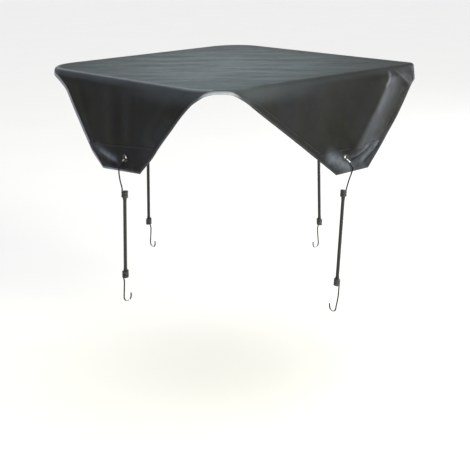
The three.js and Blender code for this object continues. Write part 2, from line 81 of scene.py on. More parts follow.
FLAPS = [
    Flap(
        name="left",
        out=(-1, 0),
        right=(0, -1),
        step=4.4,
        start=LEFT_CORNER,
        end=NEAR_CORNER,
        tip=(-68, 96),
        eyelet=Spot(39, 206),
        hem=[
            Spot(-357, 18),
            Spot(-300, 21),
            Spot(-275, 29),
            Spot(-242, 52),
            Spot(-172, 138),
            Spot(-112, 214),
            Spot(-68, 249),
            Spot(96, 240),
            Spot(150, 192),
            Spot(265, 71),
            Spot(300, 36),
            Spot(333, 14),
            Spot(357, 9),
        ],
        folds=[
            Ridge(-20, 20, -10, 185, 4, 35, 30),
            Ridge(250, 16, 135, 150, 5, 24, 30),
            Ridge(-112, 186, -14, 218, 6, 14, 14),
        ],
        creases=[
            Ridge(-180, 40, -120, 160, 1.4, 16, 16),
            Ridge(60, 30, 62, 170, 1.3, 18, 12),
            Ridge(-70, 226, -10, 238, 1.8, 8, 8),
            Ridge(70, 222, 78, 236, 1.2, 9, 9),
        ],
        # Painted highlights along the creases and fold crests, as shares
        worn=[
            Ridge(-96, 188, 2, 220, 0.36, 6, 12),
            Ridge(-70, 199, -6, 218, 0.5, 4, 7),
            Ridge(-60, 240, 0, 246, 0.12, 4, 4),
            Ridge(110, 205, 240, 70, 0.06, 22, 22),
            Ridge(-150, 110, -112, 175, 0.03, 18, 22),
            Ridge(30, 30, 36, 170, 0.03, 14, 14),
        ],
        seam=(186, 161),
        bow=-1,
        bare=5,
        shank=[Spot(13, 246), Spot(12, 262), Spot(12.5, 276), Spot(15.5, 288)],
        upper=Spot(28, 295),
        lower=Spot(17, 522),
        hook_end=Spot(6, 617),
    ),
    Flap(
        name="right",
        out=(0, -1),
        right=(1, 0),
        step=4.4,
        start=NEAR_CORNER,
        end=RIGHT_CORNER,
        tip=(44, 172),
        eyelet=Spot(76, 222),
        hem=[
            Spot(-357, 9),
            Spot(-333, 9),
            Spot(-310, 12),
            Spot(-280, 30),
            Spot(44, 265),
            Spot(172, 263),
            Spot(296, 128),
            Spot(338, 76),
            Spot(362, 46),
            Spot(374.6, 42),
        ],
        folds=[
            Ridge(262, 12, 98, 208, 13, 80, 40),
            Ridge(292, 12, 350, 54, 3, 14, 14),
            Ridge(202, 197, 126, 239, 4, 12, 12),
        ],
        creases=[
            Ridge(259, 16, 98, 208, 1.5, 5, 14),
            Ridge(160, 201, 92, 226, 3.2, 5, 5),
            Ridge(166, 204, 98, 232, -2.4, 5, 5),
            Ridge(208, 205, 146, 247, -2.2, 6, 6),
            Ridge(190, 150, 92, 205, 1.2, 8, 8),
            Ridge(60, 226, 20, 240, 1.6, 10, 10),
        ],
        # Painted highlights along the creases and fold crests, as shares
        worn=[
            Ridge(260, 14, 232, 48, 0.75, 3, 4),
            Ridge(288, 13, 346, 52, 0.2, 3, 4),
            Ridge(252, 24, 104, 201, 0.13, 3, 26),
            Ridge(230, 140, 120, 246, 0.08, 34, 50),
            Ridge(240, 46, 200, 116, 0.13, 12, 18),
            Ridge(196, 200, 112, 246, 0.2, 22, 24),
            Ridge(160, 201, 92, 226, 0.22, 4, 4),
            Ridge(166, 204, 98, 232, -0.2, 4, 4),
            Ridge(200, 196, 126, 238, 0.16, 5, 5),
            Ridge(208, 205, 146, 247, -0.2, 5, 5),
            Ridge(8, 206, 104, 258, 0.56, 18, 16),
        ],
        seam=(202, 190),
        bow=1,
        bare=15,
        shank=[Spot(101.5, 254), Spot(97, 268), Spot(89, 292)],
        upper=Spot(73, 308),
        lower=Spot(52, 558),
        hook_end=Spot(48, 657),
    ),
    Flap(
        name="far_right",
        out=(1, 0),
        right=(0, 1),
        step=9,
        start=RIGHT_CORNER,
        end=FAR_CORNER,
        tip=(-80, 80),
        eyelet=Spot(0, 212),
        hem=[
            Spot(-374.6, 42),
            Spot(-350, 46),
            Spot(-300, 66),
            Spot(-80, 250),
            Spot(80, 250),
            Spot(280, 66),
            Spot(320, 34),
            Spot(358.5, 24),
        ],
        folds=[
            Ridge(-130, 20, -60, 180, 5, 40, 34),
            Ridge(170, 20, 80, 185, 4, 34, 40),
        ],
        creases=[
            Ridge(90, 196, 30, 216, 1.6, 9, 9),
            Ridge(-96, 190, -30, 222, 1.4, 9, 9),
        ],
        # Painted highlights along the creases and fold crests, as shares
        worn=[Ridge(-96, 190, -30, 222, 0.15, 4, 6), Ridge(170, 20, 90, 150, 0.06, 6, 6)],
        seam=(182, 182),
        bow=1,
        bare=7,
        shank=[Spot(26, 252), Spot(25.5, 266), Spot(22.5, 285)],
        upper=Spot(10, 300),
        lower=Spot(4, 527),
        hook_end=Spot(8, 622),
    ),
    Flap(
        name="far_left",
        out=(0, 1),
        right=(-1, 0),
        step=9,
        start=FAR_CORNER,
        end=LEFT_CORNER,
        tip=(-80, 80),
        eyelet=Spot(0, 212),
        hem=[
            Spot(-358.5, 24),
            Spot(-320, 34),
            Spot(-280, 66),
            Spot(-80, 250),
            Spot(80, 250),
            Spot(262, 70),
            Spot(300, 36),
            Spot(330, 21),
            Spot(357, 18),
        ],
        folds=[
            Ridge(-160, 20, -70, 185, 4, 40, 34),
            Ridge(120, 20, 60, 180, 5, 34, 40),
        ],
        creases=[
            Ridge(98, 192, 34, 214, 1.5, 9, 9),
            Ridge(-90, 196, -28, 224, 1.6, 9, 9),
        ],
        # Painted highlights along the creases and fold crests, as shares
        worn=[Ridge(98, 192, 34, 214, 0.15, 6, 4), Ridge(-160, 20, -90, 150, 0.06, 6, 6)],
        seam=(182, 182),
        bow=-1,
        bare=7,
        shank=[Spot(-26, 252), Spot(-25.5, 266), Spot(-22.5, 285)],
        upper=Spot(-10, 300),
        lower=Spot(-4, 527),
        hook_end=Spot(-8, 622),
    ),
]

# The upper hook's wire, from its point behind the tip to its shank, with "aside" towards the side
# that the wire bows to, "drop" below the eyelet and "out" from the middle of the eyelet
UPPER_WIRE = [
    Reach(-3, 17, -8.6),
    Reach(-2, 9, -8.2),
    Reach(-0.5, 4, -5.6),
    Reach(0.5, 3.4, -2),
    Reach(1.2, 3.4, 2),
    Reach(2.2, 3.8, 4.4),
    Reach(5, 7, 6.2),
    Reach(13, 15, 6.8),
    Reach(22, 25, 6.8),
]

# Shape of the top and of the drape
TOP_HALF = 381
FOLD_RADIUS = 9
FOLD_LENGTH = FOLD_RADIUS * np.pi / 2
CROWN = 2
SIDE_LIFT, LIFT_FADE = 4.5, 80
RIPPLE_HEIGHT = 1.5
RIPPLE_LENGTH = 150
FINE_ACROSS, FINE_ALONG, FINE_SHARE = 2.3, 2, 0.4
TIP_LEAN = 13
FACE_START, FACE_FULL = 4, 30
HEM_EASE = 9
HEM_SHARE = 0.35
SHORT_HEM, LONG_HEM = 60, 120
FLAT_INSIDE, FLAT_OUTSIDE = 20, 40
CREASE_INSIDE, CREASE_OUTSIDE = 11, 18

# The hem's seam sits in a groove, with small puckers beside it, and the cloth thickens at the hem
GROOVE_DEPTH, GROOVE_WIDTH, GROOVE_FULL = 0.5, 1.6, 12
PUCKER_HEIGHT, PUCKER_SIZE, PUCKER_WIDTH = 0.5, 11, 9
HEM_STEP = (19, 21)

# The hem's edge, painted pale as a highlight for the light that its rolled edge catches: pale round the
# high corners and fainter along the flaps, and how much paler and broader it is towards the left end of
# the left flap
HIGH_HEM, LOW_HEM = 15.5, 32
HIGH_EDGE_WIDTH, LOW_EDGE_WIDTH, EDGE_SHARP = 8, 5, 0.55
EDGE_HIGHLIGHT = 0.06
LEFT_HIGHLIGHT, LEFT_PALER, LEFT_PALER_SPAN = 0.13, 0.6, (-60, 110)
LEFT_BROADER, LEFT_BROADER_SPAN = 5.5, (-90, -60)

# The swell of the cloth below its fold, which fades at the corners, and the finish of the top: its
# streaks along the left-to-right diagonal, its painted light below the fold, its painted highlight on the
# fold's crest, and its dusting with painted sheen
SWELL_HEIGHT, SWELL_DROP, SWELL_END = 2.5, 26, 62
SWELL_CORNER_START, SWELL_CORNER_END = 290, 345
STREAK_WIDTH, STREAK_LENGTH = 48, 190
CRUMPLE_SIZE = 55
FOLD_LIGHT_RISE, FOLD_LIGHT_START, FOLD_LIGHT_END = 3, 8, 22
CORNER_FOLD_LIGHT_END = 60
FAINT_FOLD_LIGHT = 0.3
CORNER_NEAR, CORNER_AWAY = 150, 420
CREST_PLACE, CREST_WIDTH = 2, 4.5
DUST_SHEEN_MIDDLE, DUST_SHEEN_LENGTH, DUST_SHEEN_WIDTH = (-70, -20), 620, 1000
DUST_SHEEN_CORNER, DUST_SHEEN_FOLD = (60, 150), (5, 13)

# Layers that an eyelet holds together
LAYER_GAP = 0.3
PATCH_INSET = 5
PATCH_SIDE_RUN = 64
PATCH_STEPS = (3.4, 3.2)
PATCH_ROUND = 0.7
PATCH_SEAM, SEAM_DENT, SEAM_DENT_WIDTH = 4, 0.35, 1.5
THREAD_ABOVE, THREAD_UNDER, THREAD_SUNK = 0.15, 0.1, 0.2
EYELET_BORE, EYELET_NECK, EYELET_FLANGE = 6, 7, 10.5

# Coils and hooks
COIL_TURNS = 5
COIL_STEPS = 26
COIL_LENGTH = 24
COIL_TAIL = 4
# Rubbed steel on each coil turn's outer crest, partly a painted highlight along the turns
COIL_STEEL_AND_HIGHLIGHT = 0.25
HOOK_BEND = 12
HOOK_POINT = 8
HOOK_RUBBED = 9
BARE_SPOT = Reach(4, 5, 5.5)
CORD_END_GAP, CORD_FIT = 3, 0.05
CORD_THINS = (1, 7)

# Steps of the cloth's mesh
TOP_RINGS = 26
FOLD_ROWS = 6
FACE_ROWS = 34
BAND_ROWS = (26, 24, 22, 20.6, 19.4, 18.4, 17.6, 16.9, 16.2, 15.3, 13.6, 11.2, 8.6, 6, 3.6, 1.8, 0.7, 0)


# Settings that a user can change


def a_length(name, description, size, **limits):
    """A length, given in millimetres."""
    return FloatProperty(name=name, description=description, default=size * MM, unit="LENGTH", **limits)


def a_colour(name, description, colour):
    return FloatVectorProperty(
        name=name, description=description, subtype="COLOR", default=colour, min=0, max=1
    )


def a_strength(name, description, strength):
    """The strength of a light."""
    return FloatProperty(name=name, description=description, default=strength, min=0)


class CoverClothSettings(bpy.types.PropertyGroup):
    """Sizes and colours of the cloth, its hem and its patches."""

    sheet: a_length("Cloth thickness", "Thickness of the draped cloth with its air", 2, min=0.5 * MM)
    hem_thickness: a_length("Hem thickness", "Thickness of the turned hem", 3)
    hem_width: a_length("Hem width", "Width of the turned hem", 20)
    patch_sheet: a_length("Patch thickness", "Thickness of the second layer on each tip", 1.2)
    crumple: a_length("Crumple", "Height of the small uneven waves in the cloth", 0.9)
    streak: a_length("Streaks", "Height of the long soft wrinkles on the top", 1.3)
    weave: a_length("Weave", "Width of two threads of the plain weave", 1.1)
    colour: a_colour("Cloth", "Colour of the cover cloth", (0.0125, 0.013, 0.013))
    # Darker than the cloth: partly the patches' own colour, partly painted shade on the tips
    patch_colour: a_colour("Patch", "Colour of the patches", (0.008, 0.0085, 0.011))
    # Painted highlight: the pale colour of the hem's edge stands in for the light its rolled edge catches
    edge_highlight_colour: a_colour("Edge", "Colour of the rubbed edge of the hem", (0.44, 0.48, 0.56))
    # Painted highlight: the pale colour on crease crests stands in for the light that they catch
    crease_highlight_colour: a_colour(
        "Worn", "Colour of the cloth where its creases are rubbed pale", (0.19, 0.212, 0.27)
    )
    # Painted light: the paler colour on the band below the fold stands in for light from above
    fold_light_colour: a_colour(
        "Pressed", "Colour of the cloth where it is pressed along the fold", (0.062, 0.072, 0.085)
    )
    # A dusting, partly painted sheen: this bluish pale colour also stands in for the top's sheen
    dust_and_sheen_colour: a_colour("Dust", "Colour of the dust on the top", (0.105, 0.145, 0.168))
    thread_colour: a_colour("Thread", "Colour of the sewing thread", (0.024, 0.024, 0.027))


class CoverStitchSettings(bpy.types.PropertyGroup):
    """Sizes of the stitches."""

    spacing: a_length("Spacing", "Distance from stitch to stitch", 3.6)
    length: a_length("Length", "Length of a stitch that shows", 2.8)
    thread: a_length("Thread", "Thickness of the thread", 0.8)
    hem_line: a_length("Hem seam", "Distance of the hem's seam from its edge", 16.9)


class CoverCordSettings(bpy.types.PropertyGroup):
    """Sizes and colours of the elastic cords and their hooks."""

    cord_radius: a_length("Cord radius", "Radius of the round elastic cord", 4.8)
    wire_radius: a_length("Wire radius", "Radius of the hooks' wire", 1.9)
    coil_radius: a_length("Coil radius", "Outer radius of the wire wound round the cord", 9.4)
    wire_sides: IntProperty(
        name="Wire sides",
        description="Sides of the wire's round section",
        default=12,
        min=6,
    )
    cord_colour: a_colour("Cord", "Colour of the cord's braided sheath", (0.011, 0.011, 0.012))
    wire_colour: a_colour("Wire", "Colour of the hooks' enamel", (0.005, 0.005, 0.0055))
    steel_colour: a_colour("Steel", "Colour of the steel where the enamel is rubbed off", (0.62, 0.63, 0.65))


class CoverStageSettings(bpy.types.PropertyGroup):
    """The camera, the lights and the floor."""

    lens: FloatProperty(
        name="Lens",
        description="Focal length of the camera",
        default=85.654,
        unit="CAMERA",
    )
    floor_drop: FloatProperty(
        name="Floor",
        description="Depth of the floor below the cover's fold",
        default=0.889,
        unit="LENGTH",
    )
    floor_colour: a_colour("Floor", "Colour of the floor", (0.98, 0.98, 0.98))
    surround_near: a_strength("Surround near", "Strength of the pale surround on the near side", 0.36)
    surround_far: a_strength("Surround far", "Strength of the pale surround on the far side", 1.15)
    overhead: a_strength("Overhead", "Strength of the soft light from above", 0.35)
    softness: FloatProperty(
        name="Softness",
        description="Angle that the light from above spreads over",
        default=0.9,
        unit="ROTATION",
    )


# Turn of the light from above, which leans away from the two near faces
SUN_TILT = (-0.1, 0.1, 0)

# The way in which the surround gets brighter
SURROUND_WAY = (0.75, 0.66, 0)

# Soft lights: where each stands in metres, its size, its power and its colour
Lamp = namedtuple("Lamp", "name place size power colour")
LAMPS = [
    Lamp("Right side", (4.6, -0.9, -0.2), 1.1, 115, (0.84, 0.9, 1.0)),
    Lamp("Front right", (0.2, -4.4, 1.6), 1.8, 175, (1.0, 0.99, 0.74)),
]

CAMERA_PLACE = Vector((-2.11958, -2.40314, 0.40233))
CAMERA_RIGHT = Vector((0.74380, -0.66831, -0.01111))
CAMERA_UP = Vector((0.18999, 0.19545, 0.96214))


# Shape of the draped cloth


def smooth(value, low, high):
    """Eases from 0 at the low value to 1 at the high one."""
    t = np.clip((value - low) / (high - low), 0, 1)
    return t * t * (3 - 2 * t)


def hem_drop(flap, at):
    """Drop of the hem's edge, its bends eased but for the tip's corners and the flap's ends."""
    ats, drops = zip(*flap.hem)
    fixed = (*flap.tip, ats[0], ats[-1])
    reach = np.minimum(HEM_EASE, np.min([np.abs(at - f) for f in fixed], axis=0))
    return sum(np.interp(at + side * reach, ats, drops) for side in (-1, 0, 0, 1)) / 4


def flap_ends(flap):
    """Where the flap starts and ends along the fold, in the middle of its two corners."""
    reach = [TOP_HALF - radius + radius * np.pi / 4 for radius in (flap.start, flap.end)]
    return -reach[0], reach[1]


def outline(flap, at):
    """Points of the top's outline and their outward directions, in plan."""
    radius = np.where(at < 0, flap.start, flap.end)
    straight = TOP_HALF - radius
    turn = np.maximum(0, np.abs(at) - straight) / radius
    side = np.sign(at)
    along = np.where(turn > 0, side * (straight + radius * np.sin(turn)), at)
    away = straight + radius * np.cos(turn)
    right, out = np.array(flap.right), np.array(flap.out)
    place = along[..., None] * right + away[..., None] * out
    normal = (side * np.sin(turn))[..., None] * right + np.cos(turn)[..., None] * out
    return place, normal


def ridge_height(ridge, at, drop):
    """Height of a ridge at a spot: round across its run, and fading past its two ends."""
    run = np.array((ridge.to_at - ridge.at, ridge.to_drop - ridge.drop))
    length = np.hypot(*run)
    along = ((at - ridge.at) * run[0] + (drop - ridge.drop) * run[1]) / length**2
    across = ((at - ridge.at) * run[1] - (drop - ridge.drop) * run[0]) / length
    width = np.where(across > 0, ridge.right, ridge.left)
    ends = smooth(along, -0.15, 0.15) * (1 - smooth(along, 0.85, 1.15))
    return ridge.height * np.exp(-((across / width) ** 2)) * ends


def length_at(drop):
    """Length of cloth from the start of the fold to a drop."""
    turn = np.arccos(1 - np.minimum(drop, FOLD_RADIUS) / FOLD_RADIUS)
    return np.where(drop < FOLD_RADIUS, FOLD_RADIUS * turn, FOLD_LENGTH + drop - FOLD_RADIUS)


def drop_at(length):
    """Drop at a length of cloth from the start of the fold."""
    turn = np.minimum(length, FOLD_LENGTH) / FOLD_RADIUS
    on_fold = FOLD_RADIUS * (1 - np.cos(turn))
    return np.where(length < FOLD_LENGTH, on_fold, length - FOLD_LENGTH + FOLD_RADIUS)


def hem_stretch(flap, at):
    """Length down the flap for each millimetre across the hem, and the share of it that is left."""
    span = 12
    slope = (hem_drop(flap, at + span) - hem_drop(flap, at - span)) / (2 * span)
    stretch = np.hypot(1, slope)
    width = bpy.context.scene.cover_cloth.hem_width / MM
    share = np.minimum(1, HEM_SHARE * length_at(hem_drop(flap, at)) / (width * stretch))
    return stretch * share, share


def from_edge(flap, at, drop):
    """Distance from the hem's edge, as a part of a full-width hem."""
    stretch, _ = hem_stretch(flap, at)
    return (length_at(hem_drop(flap, at)) - length_at(drop)) / stretch


def uneven(places, size, seed=0.0):
    """Soft noise from -1 to 1 at places in millimetres."""
    shape = places.shape[:-1]
    spots = places.reshape(-1, 3) / size + seed
    return np.array([noise.noise(Vector(spot)) for spot in spots]).reshape(shape)


def stand_off(flap, at, drop, place):
    """How far the flap stands out from the fold's vertical plane."""
    cloth = bpy.context.scene.cover_cloth
    lean = TIP_LEAN * np.sin(np.pi / 2 * drop / flap.eyelet.drop)
    relief = sum(ridge_height(fold, at, drop) for fold in flap.folds)
    away = np.hypot(at - flap.eyelet.at, drop - flap.eyelet.drop)
    flat = 1 - smooth(away, FLAT_INSIDE, FLAT_OUTSIDE)
    on_face = smooth(drop, FACE_START, FACE_FULL)
    off = (lean + relief * on_face) * (1 - flat) + TIP_LEAN * flat
    creases = sum(ridge_height(crease, at, drop) for crease in flap.creases)
    swell = SWELL_HEIGHT * smooth(drop, 0, SWELL_DROP) * (1 - smooth(drop, SWELL_DROP, SWELL_END))
    swell = swell * (1 - smooth(np.abs(at), SWELL_CORNER_START, SWELL_CORNER_END))
    spots = np.concatenate([place, -drop[..., None]], axis=-1)
    crumple = cloth.crumple / MM * uneven(spots, CRUMPLE_SIZE)
    from_seam = from_edge(flap, at, drop) - bpy.context.scene.cover_stitches.hem_line / MM
    pucker = PUCKER_HEIGHT * uneven(spots, PUCKER_SIZE, 7.0) * np.exp(-((from_seam / PUCKER_WIDTH) ** 2))
    groove = -GROOVE_DEPTH * np.exp(-((from_seam / GROOVE_WIDTH) ** 2))
    groove = groove * smooth(drop, FACE_START, GROOVE_FULL)
    loose = smooth(away, CREASE_INSIDE, CREASE_OUTSIDE) * on_face
    return off + loose * (creases + crumple + pucker) + groove + swell


def lift_at(x, drop):
    """How far the top stands up towards its +X side, down to where that fades."""
    return SIDE_LIFT * (x + TOP_HALF) / (2 * TOP_HALF) * (1 - smooth(drop, 0, LIFT_FADE))


def flap_points(flap, at, drop):
    """Points of the cloth's outer face at drops below the fold, and their place in the flat cloth."""
    place, normal = outline(flap, at)
    turn = np.arccos(1 - np.minimum(drop, FOLD_RADIUS) / FOLD_RADIUS)
    off = stand_off(flap, at, drop, place)
    inset = FOLD_RADIUS * (1 - np.sin(turn))
    plan = place + normal * (off * np.sin(turn) - inset)[..., None]
    height = off * np.cos(turn) - drop + lift_at(plan[..., 0], drop)
    points = np.concatenate([plan, height[..., None]], axis=-1)
    flat = place + normal * (length_at(drop) - FOLD_RADIUS)[..., None]
    return points, flat


def top_height(x, y):
    """Height of the top: a low crown, soft ripples, and long streaks along one diagonal."""
    cloth = bpy.context.scene.cover_cloth
    middle = (1 - (x / TOP_HALF) ** 2) * (1 - (y / TOP_HALF) ** 2)
    ripple = np.cos(2 * np.pi * (x + y) / RIPPLE_LENGTH)
    across, along = (x + y) / STREAK_WIDTH, (x - y) / STREAK_LENGTH
    streak = uneven(np.stack([across, along, np.zeros_like(x)], axis=-1), 1, 3.0)
    across, along = across * FINE_ACROSS, along * FINE_ALONG
    fine = uneven(np.stack([across, along, np.zeros_like(x)], axis=-1), 1, 11.0)
    rise = cloth.streak / MM * (streak + FINE_SHARE * fine) * np.minimum(1, 3 * middle)
    return middle * (CROWN + RIPPLE_HEIGHT * ripple) + rise + lift_at(x, 0)


def flap_columns(flap):
    """Places of the mesh's columns along the fold, with one at each end of the tip."""
    start, end = flap_ends(flap)
    keys = sorted((start, *flap.tip, end))
    columns = []
    for low, high in zip(keys, keys[1:]):
        steps = round((high - low) / flap.step)
        columns.append(np.linspace(low, high, steps, endpoint=False))
    return np.concatenate(columns)


def flap_rows(flap, at):
    """Drops of every column's rows: over the fold, down the face and across the hem."""
    total = length_at(hem_drop(flap, at))
    stretch, _ = hem_stretch(flap, at)
    band = total - BAND_ROWS[0] * stretch
    rows = [FOLD_LENGTH * i / FOLD_ROWS + 0 * total for i in range(FOLD_ROWS)]
    rows += [FOLD_LENGTH + (band - FOLD_LENGTH) * i / FACE_ROWS for i in range(FACE_ROWS)]
    rows += [total - edge * stretch for edge in BAND_ROWS]
    even = [total * i / (len(rows) - 1) for i in range(len(rows))]
    blend = smooth(total, SHORT_HEM, LONG_HEM)
    return drop_at(np.array(rows) * blend + np.array(even) * (1 - blend))


def grid_normals(points, closed):
    """Normals of a grid of points with rows downwards and columns to the right seen from outside."""
    if closed:
        across = np.roll(points, -1, axis=1) - np.roll(points, 1, axis=1)
    else:
        across = np.gradient(points, axis=1)
    down = np.gradient(points, axis=0)
    normals = np.cross(down, across)
    return normals / np.linalg.norm(normals, axis=-1, keepdims=True)


def in_flap(flap, at, drop, out):
    """A point beside a flap, measured from the fold's vertical plane."""
    plan = np.array(flap.right) * at + np.array(flap.out) * (TOP_HALF + out)
    return np.array((*plan, -drop))


def stack_faces():
    """Inner and outer face of the layers that an eyelet holds, out from the fold's plane."""
    cloth = bpy.context.scene.cover_cloth
    return TIP_LEAN - cloth.sheet / MM, TIP_LEAN + LAYER_GAP + cloth.patch_sheet / MM


# Meshes and nodes


def new_mesh(name, points, faces, uvs=None, attributes=None, smooth_faces=True):
    """A mesh object from points in millimetres, with an optional UV map and values on its points."""
    mesh = bpy.data.meshes.new(name)
    mesh.from_pydata((np.asarray(points) * MM).tolist(), [], faces)
    if uvs is not None:
        corners = np.empty(len(mesh.loops), dtype=np.int32)
        mesh.loops.foreach_get("vertex_index", corners)
        layer = mesh.uv_layers.new(name="Cloth")
        layer.data.foreach_set("uv", np.asarray(uvs, dtype=np.float32)[corners].ravel())
    for key, values in (attributes or {}).items():
        attribute = mesh.attributes.new(key, "FLOAT", "POINT")
        attribute.data.foreach_set("value", np.asarray(values, dtype=np.float32))
    mesh.polygons.foreach_set("use_smooth", [smooth_faces] * len(mesh.polygons))
    mesh.update()
    mesh.validate()
    made = bpy.data.objects.new(name, mesh)
    bpy.context.scene.collection.objects.link(made)
    return made


def ring_faces(rows, columns, closed=True):
    """Quads between the rows of a grid, wound for rows downwards seen from outside."""
    faces = []
    for row in range(rows - 1):
        for column in range(columns if closed else columns - 1):
            nxt = (column + 1) % columns
            a, b = row * columns + column, row * columns + nxt
            faces.append((a, a + columns, b + columns, b))
    return faces


def node(tree, kind, inputs=None, **settings):
    """Adds a node, sets its options, and sets or links its inputs."""
    made = tree.nodes.new(kind)
    for key, value in settings.items():
        setattr(made, key, value)
    for key, value in (inputs or {}).items():
        socket = made.inputs[key]
        if isinstance(value, bpy.types.NodeSocket):
            tree.links.new(value, socket)
        else:
            socket.default_value = value
    return made


def maths(tree, operation, first, second=0.0, clamp=False):
    made = node(tree, "ShaderNodeMath", {0: first, 1: second}, operation=operation, use_clamp=clamp)
    return made.outputs[0]


def blend_colours(tree, factor, first, second):
    made = node(tree, "ShaderNodeMix", {0: factor, 6: first, 7: second}, data_type="RGBA")
    return made.outputs[2]


def spread(tree, value, low, high, to_low, to_high):
    """Maps a value from one range to another."""
    inputs = {"Value": value, 1: low, 2: high, 3: to_low, 4: to_high}
    return node(tree, "ShaderNodeMapRange", inputs).outputs["Result"]


def new_material(name, **constants):
    """A material with a Principled shader whose constants are set on its own sockets."""
    material = bpy.data.materials.new(name)
    material.use_nodes = True
    tree = material.node_tree
    shader = tree.nodes["Principled BSDF"]
    for key, value in constants.items():
        shader.inputs[key.replace("_", " ")].default_value = value
    return material, tree, shader


def rgba(colour, gain=1.0):
    """A colour with its alpha, made paler or darker by a gain."""
    return (*[min(1, c * gain) for c in colour], 1)


def noise_value(tree, vector, scale, detail=2.0, roughness=0.5):
    inputs = {"Vector": vector, "Scale": scale, "Detail": detail, "Roughness": roughness}
    return node(tree, "ShaderNodeTexNoise", inputs).outputs["Fac"]


def weave_height(tree, pitch):
    """Height of a plain weave on the cloth's UV map: threads over and under in a chequer."""
    uv = node(tree, "ShaderNodeUVMap", uv_map="Cloth").outputs[0]
    split = node(tree, "ShaderNodeSeparateXYZ", {0: uv})
    waves = []
    for axis in (0, 1):
        turn = maths(tree, "MULTIPLY", split.outputs[axis], 2 * np.pi / pitch)
        waves.append(maths(tree, "SINE", turn))
    return maths(tree, "MULTIPLY", waves[0], waves[1])


def diagonal_streaks(tree, place):
    """Noise drawn out along the top's left-to-right diagonal."""
    inputs = {"Vector": place, "Rotation": (0, 0, -np.pi / 4), "Scale": (0.16, 0.04, 0.2)}
    turned = node(tree, "ShaderNodeMapping", inputs, vector_type="TEXTURE").outputs[0]
    return noise_value(tree, turned, 1, 4, 0.6)


def cloth_material(name, colour):
    """Coated woven polyester: plain weave, faint fading, dusting and painted sheen on top, painted light on
    fold, creases and hem edge.
    """
    cloth = bpy.context.scene.cover_cloth
    material, tree, shader = new_material(
        name, Specular_IOR_Level=0.07, Sheen_Weight=0.02, Sheen_Roughness=0.4
    )
    place = node(tree, "ShaderNodeTexCoord").outputs["Object"]
    cloudy = noise_value(tree, place, 5, 4, 0.6)
    tinted = noise_value(tree, place, 9, 3, 0.5)
    mottled = noise_value(tree, place, 60, 3, 0.6)
    red, green, blue = colour
    warm, cool = (red * 1.08, green * 1.04, blue * 0.88, 1), (red * 0.95, green * 0.97, blue * 1.12, 1)
    base = blend_colours(tree, spread(tree, tinted, 0.38, 0.62, 0, 1), warm, cool)
    lighter = blend_colours(tree, 0.3, base, (0.05, 0.05, 0.052, 1))
    base = blend_colours(tree, spread(tree, cloudy, 0.35, 0.7, 0, 0.4), base, lighter)
    base = blend_colours(tree, spread(tree, mottled, 0.4, 0.7, 0, 0.35), base, lighter)
    # Painted light on the band below the fold
    pressed = node(tree, "ShaderNodeAttribute", attribute_name="pressed").outputs["Fac"]
    pressed = maths(tree, "MULTIPLY", pressed, spread(tree, cloudy, 0.3, 0.7, 0.55, 1))
    base = blend_colours(tree, pressed, base, rgba(cloth.fold_light_colour))
    # A dusting on the top that is partly painted sheen, drawn out in streaks along the diagonal
    dust = node(tree, "ShaderNodeAttribute", attribute_name="dust").outputs["Fac"]
    streaks = spread(tree, diagonal_streaks(tree, place), 0.32, 0.68, 0.45, 1.2)
    dusty_sheen = maths(tree, "MULTIPLY", dust, streaks, clamp=True)
    base = blend_colours(tree, dusty_sheen, base, rgba(cloth.dust_and_sheen_colour))
    # Painted highlights along the creases and the left fold's crest
    crease_highlight = node(tree, "ShaderNodeAttribute", attribute_name="worn").outputs["Fac"]
    crease_highlight = maths(tree, "MULTIPLY", crease_highlight, spread(tree, mottled, 0.3, 0.7, 0.6, 1.1), clamp=True)
    base = blend_colours(tree, crease_highlight, base, rgba(cloth.crease_highlight_colour))
    # Painted highlight along the hem's edge and the patches' borders
    edge = node(tree, "ShaderNodeAttribute", attribute_name="edge").outputs["Fac"]
    worn = maths(tree, "MULTIPLY", edge, spread(tree, mottled, 0.3, 0.7, 0.75, 1), clamp=True)
    base = blend_colours(tree, worn, base, rgba(cloth.edge_highlight_colour))
    weave = weave_height(tree, cloth.weave)
    base_dark = blend_colours(tree, spread(tree, weave, -1, 1, 0.22, 0), base, (0, 0, 0, 1))
    tree.links.new(base_dark, shader.inputs["Base Color"])
    rough = spread(tree, mottled, 0.3, 0.7, 0.46, 0.56)
    top = node(tree, "ShaderNodeAttribute", attribute_name="top").outputs["Fac"]
    dull = maths(tree, "SUBTRACT", top, dust, clamp=True)
    rough = maths(tree, "ADD", rough, maths(tree, "MULTIPLY", dull, 0.3))
    tree.links.new(rough, shader.inputs["Roughness"])
    slub = noise_value(tree, place, 700, 2, 0.5)
    height = maths(tree, "ADD", weave, maths(tree, "MULTIPLY", slub, 0.8))
    bump = node(tree, "ShaderNodeBump", {"Strength": 0.22, "Distance": 0.0003, "Height": height})
    tree.links.new(bump.outputs[0], shader.inputs["Normal"])
    return material


def thread_material():
    """Dark sewing thread with fine fibres."""
    cloth = bpy.context.scene.cover_cloth
    material, tree, shader = new_material("Sewing thread", Sheen_Weight=0.2, Specular_IOR_Level=0.35)
    place = node(tree, "ShaderNodeTexCoord").outputs["Object"]
    fibres = noise_value(tree, place, 2500, 2, 0.6)
    colour = cloth.thread_colour
    base = blend_colours(tree, fibres, rgba(colour, 0.7), rgba(colour, 1.4))
    tree.links.new(base, shader.inputs["Base Color"])
    tree.links.new(spread(tree, fibres, 0, 1, 0.45, 0.7), shader.inputs["Roughness"])
    return material


